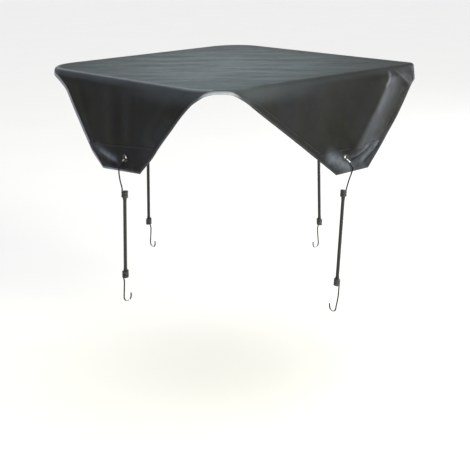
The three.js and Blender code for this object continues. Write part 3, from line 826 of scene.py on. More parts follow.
def wire_material():
    """Black enamelled steel wire, rubbed to the steel where it hangs in the eyelet."""
    cords = bpy.context.scene.cover_cords
    material, tree, shader = new_material(
        "Enamelled wire", Coat_Weight=0.05, Coat_Roughness=0.25, Specular_IOR_Level=0.15
    )
    place = node(tree, "ShaderNodeTexCoord").outputs["Object"]
    fine = noise_value(tree, place, 900, 3, 0.6)
    rubbed = node(tree, "ShaderNodeAttribute", attribute_name="rubbed").outputs["Fac"]
    patchy = maths(tree, "MULTIPLY", rubbed, spread(tree, fine, 0.3, 0.55, 0.4, 1), clamp=True)
    base = blend_colours(tree, patchy, rgba(cords.wire_colour), rgba(cords.steel_colour))
    tree.links.new(base, shader.inputs["Base Color"])
    tree.links.new(patchy, shader.inputs["Metallic"])
    tree.links.new(spread(tree, fine, 0.2, 0.8, 0.22, 0.36), shader.inputs["Roughness"])
    bump = node(tree, "ShaderNodeBump", {"Strength": 0.15, "Distance": 0.0002, "Height": fine})
    tree.links.new(bump.outputs[0], shader.inputs["Normal"])
    return material


def eyelet_material():
    """Black enamelled metal with small chips."""
    cords = bpy.context.scene.cover_cords
    material, tree, shader = new_material("Enamelled eyelet", Coat_Weight=0.3, Coat_Roughness=0.15)
    place = node(tree, "ShaderNodeTexCoord").outputs["Object"]
    fine = noise_value(tree, place, 700, 3, 0.6)
    chipped = spread(tree, fine, 0.66, 0.74, 0, 0.6)
    base = blend_colours(tree, chipped, rgba(cords.wire_colour, 1.2), rgba(cords.steel_colour, 0.5))
    tree.links.new(base, shader.inputs["Base Color"])
    tree.links.new(chipped, shader.inputs["Metallic"])
    tree.links.new(spread(tree, fine, 0.2, 0.8, 0.25, 0.42), shader.inputs["Roughness"])
    return material


def cord_material():
    """A braided sheath: two sets of strands that cross, on the cord's own UV map."""
    cords = bpy.context.scene.cover_cords
    material, tree, shader = new_material("Braided sheath", Sheen_Weight=0.1, Specular_IOR_Level=0.4)
    uv = node(tree, "ShaderNodeUVMap", uv_map="Cloth").outputs[0]
    split = node(tree, "ShaderNodeSeparateXYZ", {0: uv})
    round_turn = maths(tree, "MULTIPLY", split.outputs[0], 2 * np.pi * 8)
    along_turn = maths(tree, "MULTIPLY", split.outputs[1], 2 * np.pi / 0.0042)
    one_way = maths(tree, "SINE", maths(tree, "ADD", round_turn, along_turn))
    other_way = maths(tree, "SINE", maths(tree, "SUBTRACT", round_turn, along_turn))
    braid = maths(tree, "MULTIPLY", one_way, other_way)
    colour = cords.cord_colour
    shade = spread(tree, braid, -1, 1, 0, 1)
    base = blend_colours(tree, shade, rgba(colour, 0.6), rgba(colour, 1.7))
    tree.links.new(base, shader.inputs["Base Color"])
    tree.links.new(spread(tree, braid, -1, 1, 0.5, 0.34), shader.inputs["Roughness"])
    bump = node(tree, "ShaderNodeBump", {"Strength": 0.4, "Distance": 0.0005, "Height": braid})
    tree.links.new(bump.outputs[0], shader.inputs["Normal"])
    return material


def cloth_finish(name="Cover cloth"):
    """The material of the cloth or of the patches, both made on the first call."""
    cloth = bpy.context.scene.cover_cloth
    if name not in bpy.data.materials:
        cloth_material("Cover cloth", cloth.colour)
        # The patches' darker colour is partly painted shade on the tips
        cloth_material("Patch cloth", cloth.patch_colour)
    return bpy.data.materials[name]


# Geometry Nodes


def group_input(tree, name, kind, default=None):
    socket = tree.interface.new_socket(name=name, in_out="INPUT", socket_type=kind)
    if default is not None:
        socket.default_value = default


def new_geometry_tree(name):
    tree = bpy.data.node_groups.new(name, "GeometryNodeTree")
    group_input(tree, "Geometry", "NodeSocketGeometry")
    tree.interface.new_socket(name="Geometry", in_out="OUTPUT", socket_type="NodeSocketGeometry")
    return tree


def close_tree(tree, grown, finish):
    """Ends a tree with real, smooth meshes that have their material."""
    real = node(tree, "GeometryNodeRealizeInstances", {"Geometry": grown})
    shaded = node(tree, "GeometryNodeSetShadeSmooth", {"Geometry": real.outputs[0]})
    ended = node(tree, "GeometryNodeSetMaterial", {"Geometry": shaded.outputs[0], "Material": finish})
    node(tree, "NodeGroupOutput", {"Geometry": ended.outputs[0]})


def wire_tree():
    """Sweeps a round wire along a path."""
    tree = new_geometry_tree("Round wire")
    group_input(tree, "Radius", "NodeSocketFloat", 0.0016)
    group_input(tree, "Sides", "NodeSocketInt", 12)
    group_input(tree, "Finish", "NodeSocketMaterial")
    given = node(tree, "NodeGroupInput").outputs
    section = {"Resolution": given["Sides"], "Radius": given["Radius"]}
    circle = node(tree, "GeometryNodeCurvePrimitiveCircle", section)
    sweep = {"Curve": given["Geometry"], "Profile Curve": circle.outputs[0], "Fill Caps": True}
    swept = node(tree, "GeometryNodeCurveToMesh", sweep)
    close_tree(tree, swept.outputs[0], given["Finish"])
    return tree


def stitch_tree():
    """Sets stitches at even steps along paths."""
    tree = new_geometry_tree("Stitches")
    group_input(tree, "Spacing", "NodeSocketFloat", 0.0036)
    group_input(tree, "Length", "NodeSocketFloat", 0.0028)
    group_input(tree, "Thread", "NodeSocketFloat", 0.0008)
    group_input(tree, "Finish", "NodeSocketMaterial")
    given = node(tree, "NodeGroupInput").outputs
    line = {"Curve": given["Geometry"], "Length": given["Spacing"]}
    points = node(tree, "GeometryNodeCurveToPoints", line, mode="LENGTH")
    ball = node(tree, "GeometryNodeMeshUVSphere", {"Segments": 6, "Rings": 5, "Radius": 0.5})
    size = node(tree, "ShaderNodeCombineXYZ", {0: given["Thread"], 1: given["Thread"], 2: given["Length"]})
    stitch = {
        "Points": points.outputs["Points"],
        "Instance": ball.outputs["Mesh"],
        "Rotation": points.outputs["Rotation"],
        "Scale": size.outputs[0],
    }
    placed = node(tree, "GeometryNodeInstanceOnPoints", stitch)
    close_tree(tree, placed.outputs[0], given["Finish"])
    return tree


def grown_on_paths(name, tree, paths, values, cyclic=False):
    """Runs a geometry tree on paths in millimetres, and keeps the result as a plain mesh object."""
    curve = bpy.data.curves.new(name, "CURVE")
    curve.dimensions = "3D"
    for path in paths:
        spline = curve.splines.new("POLY")
        spline.points.add(len(path) - 1)
        spline.use_cyclic_u = cyclic
        flat = np.column_stack([np.asarray(path) * MM, np.ones(len(path))])
        spline.points.foreach_set("co", flat.astype(np.float32).ravel())
    carrier = bpy.data.objects.new(name + "_path", curve)
    bpy.context.scene.collection.objects.link(carrier)
    modifier = carrier.modifiers.new("Grown", "NODES")
    modifier.node_group = tree
    for item in tree.interface.items_tree:
        if item.in_out == "INPUT" and item.name in values:
            modifier[item.identifier] = values[item.name]
    ready = carrier.evaluated_get(bpy.context.evaluated_depsgraph_get())
    mesh = bpy.data.meshes.new_from_object(ready)
    carrier.modifiers.remove(modifier)
    bpy.data.objects.remove(carrier)
    mesh.name = name
    made = bpy.data.objects.new(name, mesh)
    bpy.context.scene.collection.objects.link(made)
    return made


def slope_at(before, here, after, span_in, span_out):
    """Slope of a smooth path at a point, from the points beside it and their spans."""
    return (here - before) / span_in - (after - before) / (span_in + span_out) + (after - here) / span_out


def eased_path(points, step=1.2):
    """A smooth path through points in millimetres, with steps of about that length."""
    points = [Vector(p) for p in points]
    ends = [points[0] * 2 - points[1], *points, points[-1] * 2 - points[-2]]
    path = []
    for before, start, end, after in zip(ends, ends[1:], ends[2:], ends[3:]):
        steps = max(1, round((end - start).length / step))
        spans = [(b - a).length ** 0.5 for a, b in ((before, start), (start, end), (end, after))]
        slope_in = slope_at(before, start, end, *spans[:2]) * spans[1]
        slope_out = slope_at(start, end, after, *spans[1:]) * spans[1]
        for i in range(steps):
            t = i / steps
            path.append(
                start * (2 * t**3 - 3 * t**2 + 1)
                + slope_in * (t**3 - 2 * t**2 + t)
                + end * (3 * t**2 - 2 * t**3)
                + slope_out * (t**3 - t**2)
            )
    return [*path, points[-1]]


# Cords and hooks


def coil_ends(flap):
    """Tops of the upper and the lower coil, and the direction down the cord."""
    middle = sum(stack_faces()) / 2
    upper = in_flap(flap, *flap.upper, middle)
    lower = in_flap(flap, *flap.lower, middle)
    along = (lower - upper) / np.linalg.norm(lower - upper)
    return upper, lower, along


def coil_path(flap, start, along, downwards):
    """The wire's turns round the cord, from the end that the hook is on."""
    cords = bpy.context.scene.cover_cords
    wire = cords.wire_radius / MM
    radius = cords.coil_radius / MM - wire
    aside = np.array((*flap.right, 0)) * flap.bow
    aside = aside - along * (aside @ along)
    aside /= np.linalg.norm(aside)
    front = np.cross(along, aside)
    if front @ np.array((*flap.out, 0)) < 0:
        front = -front
    steps = COIL_STEPS * COIL_TURNS
    path = []
    for i in range(2, steps + 1):
        turn = 2 * np.pi * COIL_TURNS * i / steps
        depth = wire + (COIL_LENGTH - 2 * wire) * i / steps
        depth = depth if downwards else COIL_LENGTH - depth
        path.append(start + along * depth + radius * (aside * np.cos(turn) + front * np.sin(turn)))
    return path


def upper_hook_path(flap):
    """The wire from its point behind the tip, through the eyelet and down to its coil."""
    upper, _, along = coil_ends(flap)
    middle = sum(stack_faces()) / 2
    points = [
        in_flap(flap, flap.eyelet.at + flap.bow * p.aside, flap.eyelet.drop + p.drop, middle + p.out)
        for p in UPPER_WIRE
    ]
    top = flap.eyelet.drop + UPPER_WIRE[-1].drop
    end = flap.upper.drop + COIL_TAIL
    for spot in flap.shank:
        points.append(in_flap(flap, *spot, middle + UPPER_WIRE[-1].out * (1 - smooth(spot.drop, top, end))))
    coil = coil_path(flap, upper, along, True)
    joined = eased_path([*points, *coil[:3]])
    return [*joined[:-1], *coil[2:]]


def lower_hook_path(flap):
    """The wire from its point, round the hook's bend and up to its coil."""
    _, lower, along = coil_ends(flap)
    middle = sum(stack_faces()) / 2
    cords = bpy.context.scene.cover_cords
    rim = (cords.coil_radius - cords.wire_radius) / MM
    start = flap.lower.at + flap.bow * rim
    coil_end = flap.lower.drop + COIL_LENGTH
    bend_start = flap.hook_end.drop - HOOK_BEND
    points = []
    for share in (0.15, 0.5):
        at = start + (flap.hook_end.at - start) * share**2
        points.append(in_flap(flap, at, coil_end + (bend_start - coil_end) * share, middle))
    for turn in np.linspace(0, np.pi, 9):
        out = middle - HOOK_BEND * (1 - np.cos(turn))
        points.append(in_flap(flap, flap.hook_end.at, bend_start + HOOK_BEND * np.sin(turn), out))
    points.append(in_flap(flap, flap.hook_end.at, bend_start - HOOK_POINT, middle - 2 * HOOK_BEND))
    coil = coil_path(flap, lower, along, False)
    joined = eased_path([*points[::-1], *coil[:3]])
    return [*joined[:-1], *coil[2:]]


def cord_tube(name, path, radii, sides=24):
    """A round tube along a path, with its sheath's UV map: round and along."""
    path = np.array(path)
    tangent = np.gradient(path, axis=0)
    tangent /= np.linalg.norm(tangent, axis=1, keepdims=True)
    aside = np.cross(tangent, (0.3, 0.9, 0.1))
    aside /= np.linalg.norm(aside, axis=1, keepdims=True)
    front = np.cross(tangent, aside)
    turns = np.linspace(0, 2 * np.pi, sides, endpoint=False)
    rings = path[:, None] + radii[:, None, None] * (
        aside[:, None] * np.cos(turns)[None, :, None] + front[:, None] * np.sin(turns)[None, :, None]
    )
    count = len(path)
    points = [*rings.reshape(-1, 3), path[0], path[-1]]
    faces = []
    for row in range(count - 1):
        for i in range(sides):
            a, b = row * sides + i, row * sides + (i + 1) % sides
            faces.append((a, b, b + sides, a + sides))
    first, last = count * sides, count * sides + 1
    for i in range(sides):
        faces.append((first, (i + 1) % sides, i))
        faces.append((last, (count - 1) * sides + i, (count - 1) * sides + (i + 1) % sides))
    made = new_mesh(name, points, faces)
    along = np.concatenate([[0], np.cumsum(np.linalg.norm(np.diff(path, axis=0), axis=1))]) * MM
    layer = made.data.uv_layers.new(name="Cloth")
    for face in made.data.polygons:
        corners = list(face.vertices)
        rounds = [(v % sides) / sides if v < first else None for v in corners]
        known = [r for r in rounds if r is not None]
        wraps = max(known) - min(known) > 0.5
        for loop, v, r in zip(face.loop_indices, corners, rounds):
            r = sum(known) / len(known) if r is None else r + (wraps and r < 0.5)
            row = min(v // sides, count - 1) if v < first else (0 if v == first else count - 1)
            layer.data[loop].uv = (r, along[row])
    return made


def add_cord(flap, finish):
    """The elastic cord between its two coils, thicker where its folded end sits in the coil."""
    cords = bpy.context.scene.cover_cords
    upper, lower, along = coil_ends(flap)
    inside = COIL_LENGTH - CORD_END_GAP
    start = upper + along * (COIL_LENGTH - inside)
    end = lower + along * inside
    length = np.linalg.norm(end - start)
    close = np.array((0, 0.5, 1.4, 2.8))
    steps = np.concatenate([close, np.arange(5, length - 4, 2.0), length - close[::-1]])
    path = start + steps[:, None] * along
    near_end = np.minimum(steps, length - steps)
    thin = cords.cord_radius / MM
    thick = (cords.coil_radius - 2 * cords.wire_radius) / MM - CORD_FIT
    thins = [inside + away for away in CORD_THINS]
    radii = thin + (thick - thin) * (1 - smooth(near_end, *thins))
    radii = radii * np.sqrt(np.clip(1 - (1 - np.minimum(near_end, 3) / 3.2) ** 2, 0.02, 1))
    made = cord_tube("cord_" + flap.name, path, radii)
    made.data.materials.append(finish)
    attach(made, "root")
    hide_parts("bungee_" + flap.name)


class COVER_OT_cords(bpy.types.Operator):
    """Makes the elastic cords with the wire hooks wound on their ends"""

    bl_idname = "cover.cords"
    bl_label = "Cords and hooks"

    def execute(self, context):
        cords = context.scene.cover_cords
        tree = wire_tree()
        wire, sheath = wire_material(), cord_material()
        values = {"Radius": cords.wire_radius, "Sides": cords.wire_sides, "Finish": wire}
        for flap in FLAPS:
            for kind, path in (("upper_hook_", upper_hook_path), ("lower_hook_", lower_hook_path)):
                hook = grown_on_paths(kind + flap.name + "_wound", tree, [path(flap)], values)
                self.mark_rubbing(hook, flap)
                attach(hook, "root")
                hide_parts(kind + flap.name)
            add_cord(flap, sheath)
        return {"FINISHED"}

    def mark_rubbing(self, hook, flap):
        """Marks where the wire rubs: in the eyelet, inside the lower hook and round the coils, whose turns'
        rubbed outer crests are partly a painted highlight.
        """
        cords = bpy.context.scene.cover_cords
        rim = (cords.coil_radius - cords.wire_radius) / MM
        wire = cords.wire_radius / MM
        middle = sum(stack_faces()) / 2
        aside, drop = flap.eyelet.at + BARE_SPOT.aside * flap.bow, flap.eyelet.drop + BARE_SPOT.drop
        spots = [
            (in_flap(flap, aside, drop, middle + BARE_SPOT.out), flap.bare),
            (in_flap(flap, flap.hook_end.at, flap.hook_end.drop - 2, middle - HOOK_BEND), HOOK_RUBBED),
        ]
        places = np.array([v.co[:] for v in hook.data.vertices]) / MM
        rubbed = np.zeros(len(places))
        for spot, size in spots:
            rubbed += 1 - smooth(np.linalg.norm(places - spot, axis=1), size / 2, size)
        upper, lower, along = coil_ends(flap)
        for start in (upper, lower):
            depth = (places - start) @ along
            away = np.linalg.norm(places - start - depth[:, None] * along, axis=1)
            wound = (depth > 0) & (depth < COIL_LENGTH)
            # Rubbed steel on each turn's outer crest, partly a painted highlight along the turns
            rubbed += COIL_STEEL_AND_HIGHLIGHT * wound * smooth(away, rim + 0.85 * wire, rim + 0.95 * wire)
        attribute = hook.data.attributes.new("rubbed", "FLOAT", "POINT")
        attribute.data.foreach_set("value", rubbed.astype(np.float32))


# Painted light, dusting with painted sheen, and the cover cloth


def painted_edge_highlight(flap, at, drop):
    """Share of painted highlight near the hem's edge, for the light its rolled edge catches: a thin line,
    wider round the high corners.
    """
    total = length_at(hem_drop(flap, at))
    _, share = hem_stretch(flap, at)
    from_hem = from_edge(flap, at, drop) * share
    low = smooth(total, HIGH_HEM, LOW_HEM)
    # rubbed is the painted highlight's strength along the low hem; round the high corners it is full
    rubbed = EDGE_HIGHLIGHT
    width = HIGH_EDGE_WIDTH + (LOW_EDGE_WIDTH - HIGH_EDGE_WIDTH) * low
    if flap.name == "left":
        rubbed = LEFT_HIGHLIGHT + LEFT_PALER * (1 - smooth(at, *LEFT_PALER_SPAN))
        width += LEFT_BROADER * low * (1 - smooth(at, *LEFT_BROADER_SPAN))
    level = 1 - low * (1 - rubbed)
    return level * (1 - smooth(from_hem, width * EDGE_SHARP, width))


def painted_fold_light(flap, at, drop):
    """Share of painted light on the band below the fold: most, and furthest down, at the near corner."""
    corner = corner_share(flap, at, CORNER_NEAR, CORNER_AWAY)
    rise = smooth(length_at(drop), 0, FOLD_LIGHT_RISE)
    fold = rise * (1 - smooth(drop, FOLD_LIGHT_START, FOLD_LIGHT_END))
    wide = rise * (1 - smooth(drop, FOLD_LIGHT_START, CORNER_FOLD_LIGHT_END))
    return fold * (1 if flap.name == "left" else FAINT_FOLD_LIGHT) * (1 - corner) + wide * corner


def top_dust_and_sheen(plan):
    """Share of dusting and painted sheen on the top: most in its middle and towards the near corner."""
    spot = plan - np.array(DUST_SHEEN_MIDDLE)
    along = (spot[..., 0] - spot[..., 1]) / DUST_SHEEN_LENGTH
    across = (spot[..., 0] + spot[..., 1]) / DUST_SHEEN_WIDTH
    return np.exp(-(along**2) - across**2)


def corner_share(flap, at, start, end):
    """How near a spot is to the near corner: 1 up to the start and 0 from the end, along the fold."""
    low, high = flap_ends(flap)
    if flap.name == "right":
        return 1 - smooth(at - low, start, end)
    if flap.name == "left":
        return 1 - smooth(high - at, start, end)
    return 0 * at


def corner_dust_and_sheen(flap, at, drop):
    """How far the dusting and painted sheen reach over the fold, which they do at the near corner."""
    return corner_share(flap, at, *DUST_SHEEN_CORNER) * (1 - smooth(length_at(drop), *DUST_SHEEN_FOLD))


def painted_crease_light(flap, at, drop):
    """Painted highlights: how pale the cloth is painted along its creases, and on the left flap along the
    fold's crest.
    """
    crease_highlight = sum(ridge_height(crease, at, drop) for crease in flap.worn)
    # A painted highlight on the left fold's crest
    crest = np.exp(-(((length_at(drop) - CREST_PLACE) / CREST_WIDTH) ** 2))
    return crease_highlight + crest * (1 if flap.name == "left" else 0)


def cut_eyelet_holes(piece):
    """Cuts the round holes for the eyelets' necks."""
    points, faces = [], []
    sides, reach = 32, 20
    for flap in FLAPS:
        for out in (-reach, reach):
            for turn in np.linspace(0, 2 * np.pi, sides, endpoint=False):
                radius = EYELET_NECK + LAYER_GAP
                at = flap.eyelet.at + radius * np.cos(turn)
                points.append(in_flap(flap, at, flap.eyelet.drop - radius * np.sin(turn), TIP_LEAN + out))
        base = len(points) - 2 * sides
        faces.append(tuple(base + i for i in reversed(range(sides))))
        faces.append(tuple(base + sides + i for i in range(sides)))
        for i in range(sides):
            nxt = (i + 1) % sides
            faces.append((base + i, base + nxt, base + sides + nxt, base + sides + i))
    drill = new_mesh("drill", points, faces)
    modifier = piece.modifiers.new("Holes", "BOOLEAN")
    modifier.object = drill
    modifier.operation = "DIFFERENCE"
    modifier.solver = "EXACT"
    ready = piece.evaluated_get(bpy.context.evaluated_depsgraph_get())
    cut = bpy.data.meshes.new_from_object(ready)
    piece.modifiers.remove(modifier)
    old, piece.data = piece.data, cut
    cut.name = piece.name
    bpy.data.meshes.remove(old)
    bpy.data.objects.remove(drill)


class COVER_OT_cloth(bpy.types.Operator):
    """Makes the cover's cloth as one closed sheet with its hem"""

    bl_idname = "cover.cloth"
    bl_label = "Cover cloth"

    def execute(self, context):
        face = self.outer_face()
        outer, flat = face["place"], face["flat"]
        cloth = context.scene.cover_cloth
        normals = grid_normals(outer, closed=True)
        sheet, thick = cloth.sheet / MM, cloth.hem_thickness / MM
        depth = sheet + (thick - sheet) * face["hem"]
        inner = outer - normals * depth[..., None]
        rim = self.rim_rows(outer, inner, normals)
        rows = np.concatenate([outer, rim, inner[::-1]])
        count, columns = rows.shape[:2]
        top = (0, 0, float(top_height(np.array(0.0), np.array(0.0))))
        under = (0, 0, top[2] - sheet)
        points = [*rows.reshape(-1, 3), top, under]
        faces = ring_faces(count, columns)
        first, last = count * columns, count * columns + 1
        for i in range(columns):
            nxt = (i + 1) % columns
            faces.append((first, i, nxt))
            faces.append((last, (count - 1) * columns + nxt, (count - 1) * columns + i))

        def through(key, inside=0.0):
            """Values of the outer face carried round the rim to the inner face."""
            values = face[key]
            return np.concatenate([values, np.repeat(values[-1:], len(rim), axis=0), values[::-1] * inside])

        flat_points = [*(through("flat", 1.0) * MM).reshape(-1, 2), (0, 0), (0, 0)]
        values = {"edge": [*through("edge", 0.5).ravel(), 0, 0]}
        for key in ("pressed", "dust", "top", "worn"):
            values[key] = [*through(key).ravel(), face[key][0, 0], 0]
        piece = new_mesh("draped_cloth", points, faces, flat_points, values)
        cut_eyelet_holes(piece)
        piece.data.materials.clear()
        piece.data.materials.append(cloth_finish())
        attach(piece, "root")
        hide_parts("cover_cloth")
        return {"FINISHED"}

    def outer_face(self):
        """The outer face's rows, from the middle of the top to the hem's edge, and their values."""
        flaps = []
        for flap in FLAPS:
            columns = flap_columns(flap)
            drop = flap_rows(flap, columns)
            at = np.broadcast_to(columns, drop.shape)
            place, flat = flap_points(flap, at, drop)
            values = {"place": place, "flat": flat, "top": np.zeros(drop.shape)}
            values["edge"] = painted_edge_highlight(flap, at, drop)
            values["pressed"] = painted_fold_light(flap, at, drop)
            values["worn"] = painted_crease_light(flap, at, drop)
            values["dust"] = top_dust_and_sheen(place[..., :2]) * corner_dust_and_sheen(flap, at, drop)
            values["hem"] = 1 - smooth(from_edge(flap, at, drop), *HEM_STEP)
            flaps.append(values)
        face = {key: np.concatenate([values[key] for values in flaps], axis=1) for key in flaps[0]}
        shares = (np.arange(TOP_RINGS) + 0.5) / TOP_RINGS
        plan = face["place"][0, :, :2] * shares[:, None, None]
        height = top_height(plan[..., 0], plan[..., 1])
        rings = {"place": np.concatenate([plan, height[..., None]], axis=-1)}
        rings["flat"] = face["flat"][0] * shares[:, None, None]
        rings["dust"] = top_dust_and_sheen(plan)
        rings["top"] = np.ones(height.shape)
        return {key: np.concatenate([rings.get(key, 0 * height), face[key]]) for key in face}

    def rim_rows(self, outer, inner, normals):
        """Rows round the hem's rolled edge."""
        middle = (outer[-1] + inner[-1]) / 2
        half = np.linalg.norm(outer[-1] - inner[-1], axis=-1, keepdims=True) / 2
        down = outer[-1] - outer[-2]
        down /= np.linalg.norm(down, axis=-1, keepdims=True)
        turns = np.linspace(0, np.pi, 7)[1:-1]
        return np.array([middle + half * (normals[-1] * np.cos(t) + down * np.sin(t)) for t in turns])

    def flat_area(self, outer):
        """Area of the outer face in square millimetres."""
        nxt = np.roll(outer, -1, axis=1)
        one = np.cross(outer[1:] - outer[:-1], nxt[1:] - outer[:-1])
        two = np.cross(nxt[1:] - outer[:-1], nxt[:-1] - outer[:-1])
        return float((np.linalg.norm(one, axis=-1) + np.linalg.norm(two, axis=-1)).sum() / 2)


# Patches, eyelets and stitching


def patch_corners(flap):
    """Corners of the patch as (at, drop): top left, top right, bottom right, bottom left."""

    def corner(at):
        return np.array((at, -float(hem_drop(flap, np.array(float(at))))))

    def unit(v):
        return v / np.linalg.norm(v)

    def inset(one, two):
        middle = unit(one + two)
        return middle * PATCH_INSET / abs(middle[0] * one[1] - middle[1] * one[0])

    def rise(start, edge, drop):
        return start + edge * (-drop - start[1]) / edge[1]

    left, right = corner(flap.tip[0]), corner(flap.tip[1])
    left_edge = unit(corner(flap.tip[0] - PATCH_SIDE_RUN) - left)
    right_edge = unit(corner(flap.tip[1] + PATCH_SIDE_RUN) - right)
    bottom = unit(right - left)
    low_left = left + inset(left_edge, bottom)
    low_right = right + inset(right_edge, -bottom)
    top_left = rise(low_left, left_edge, flap.seam[0])
    top_right = rise(low_right, right_edge, flap.seam[1])
    return [Spot(p[0], -p[1]) for p in (top_left, top_right, low_right, low_left)]


def patch_spot(corners, s, t):
    """The (at, drop) at a share s across and t down the patch."""
    top = [(1 - s) * corners[0][k] + s * corners[1][k] for k in (0, 1)]
    low = [(1 - s) * corners[3][k] + s * corners[2][k] for k in (0, 1)]
    return [(1 - t) * top[k] + t * low[k] for k in (0, 1)]


def face_and_normal(flap, at, drop):
    """Points and normals of the cloth's outer face, and the points' place in the flat cloth."""
    step = 0.5
    point, flat = flap_points(flap, at, drop)
    across = flap_points(flap, at + step, drop)[0] - flap_points(flap, at - step, drop)[0]
    down = flap_points(flap, at, drop + step)[0] - flap_points(flap, at, drop - step)[0]
    normal = np.cross(down, across)
    return point, normal / np.linalg.norm(normal, axis=-1, keepdims=True), flat


def border_shares(length, step):
    """Shares along a side, with close steps near its two ends for a rounded border."""
    near = np.array((0, 0.25, 0.6, 1.2, 2.2, 3.4))
    count = max(2, round((length - 2 * near[-1]) / step))
    middle = np.linspace(near[-1], length - near[-1], count)[1:-1]
    return np.concatenate([near, middle, (length - near)[::-1]]) / length


class COVER_OT_patches(bpy.types.Operator):
    """Makes the second layer of cloth on each tip"""

    bl_idname = "cover.patches"
    bl_label = "Tip patches"

    def execute(self, context):
        for flap in FLAPS:
            piece = self.patch(flap, context.scene.cover_cloth.patch_sheet / MM)
            cut_eyelet_holes(piece)
            piece.data.materials.clear()
            piece.data.materials.append(cloth_finish("Patch cloth"))
            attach(piece, "root")
            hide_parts("patch_" + flap.name)
            corners = patch_corners(flap)
        return {"FINISHED"}

    def patch(self, flap, sheet):
        """A thin layer on the cloth's outer face, with a rounded border and a dent at its seam."""
        corners = patch_corners(flap)
        width = np.hypot(corners[1].at - corners[0].at, corners[1].drop - corners[0].drop)
        height = corners[3].drop - corners[0].drop
        s, t = np.meshgrid(border_shares(width, PATCH_STEPS[0]), border_shares(height, PATCH_STEPS[1]))
        at, drop = patch_spot(corners, s, t)
        point, normal, flat = face_and_normal(flap, at, drop)
        border = np.minimum(np.minimum(s, 1 - s) * width, np.minimum(t, 1 - t) * height)
        round_off = 1 - np.minimum(border, PATCH_ROUND) / PATCH_ROUND
        round_off = np.sqrt(np.clip(1 - round_off**2, 0, 1))
        dent = SEAM_DENT * np.exp(-(((border - PATCH_SEAM) / SEAM_DENT_WIDTH) ** 2))
        high = LAYER_GAP + sheet * (0.5 + 0.5 * round_off) - dent
        low = LAYER_GAP + sheet * (0.5 - 0.5 * round_off)
        rows, columns = s.shape
        outer = (point + normal * high[..., None]).reshape(-1, 3)
        inner = (point + normal * low[..., None]).reshape(-1, 3)
        size = rows * columns
        rim = list(range(columns))
        rim += [row * columns + columns - 1 for row in range(1, rows)]
        rim += [(rows - 1) * columns + i for i in reversed(range(columns - 1))]
        rim += [row * columns for row in reversed(range(1, rows - 1))]
        kept = sorted(set(range(size)) - set(rim))
        under = {v: size + k for k, v in enumerate(kept)}
        under.update({v: v for v in rim})
        faces = ring_faces(rows, columns, closed=False)
        faces += [tuple(under[v] for v in reversed(face)) for face in faces]
        points = [*outer, *inner[kept]]
        flats = np.concatenate([flat.reshape(-1, 2), flat.reshape(-1, 2)[kept]]) * MM
        # A faint painted highlight along the patch's rounded border
        edge = (0.05 * (1 - smooth(border, 0.8, 2.2))).ravel()
        # Painted crease highlights on the patch too
        worn = painted_crease_light(flap, at, drop).ravel()
        values = {"edge": np.concatenate([edge, edge[kept]]), "worn": np.concatenate([worn, 0 * worn[kept]])}
        return new_mesh("sewn_patch_" + flap.name, points, faces, flats, values)


class COVER_OT_eyelets(bpy.types.Operator):
    """Makes the two-flange eyelets that hold the tips together"""

    bl_idname = "cover.eyelets"
    bl_label = "Eyelets"

    def execute(self, context):
        finish = eyelet_material()
        for flap in FLAPS:
            piece = self.eyelet(flap)
            piece.data.materials.append(finish)
            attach(piece, "root")
            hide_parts("eyelet_" + flap.name)
        return {"FINISHED"}

    def profile(self):
        """Radius and height of the turned section: a rolled front flange and a flat back washer."""
        inner, outer = stack_faces()
        half = (outer - inner) / 2 + LAYER_GAP
        roll = EYELET_FLANGE - EYELET_BORE
        section = []
        for turn in np.linspace(np.pi, 0, 10):
            reach = EYELET_BORE + roll / 2 * (1 + np.cos(turn))
            section.append((reach, half + 0.35 + 1.05 * np.sin(turn)))
        section += [(EYELET_FLANGE, half), (EYELET_NECK, half), (EYELET_NECK, -half), (EYELET_FLANGE, -half)]
        section += [(EYELET_FLANGE, -half - 0.5), (EYELET_FLANGE - 0.5, -half - 1)]
        section += [(EYELET_BORE + 0.9, -half - 1), (EYELET_BORE + 0.2, -half - 0.7), (EYELET_BORE, -half)]
        return section

    def eyelet(self, flap):
        """The section turned round the eyelet's axis."""
        sides = 48
        middle = sum(stack_faces()) / 2
        section = self.profile()
        points = []
        for radius, height in section:
            for turn in np.linspace(0, 2 * np.pi, sides, endpoint=False):
                at = flap.eyelet.at + radius * np.cos(turn)
                points.append(in_flap(flap, at, flap.eyelet.drop - radius * np.sin(turn), middle + height))
        faces = []
        for row in range(len(section)):
            below = (row + 1) % len(section)
            for i in range(sides):
                nxt = (i + 1) % sides
                faces.append((row * sides + i, row * sides + nxt, below * sides + nxt, below * sides + i))
        return new_mesh("pressed_eyelet_" + flap.name, points, faces)


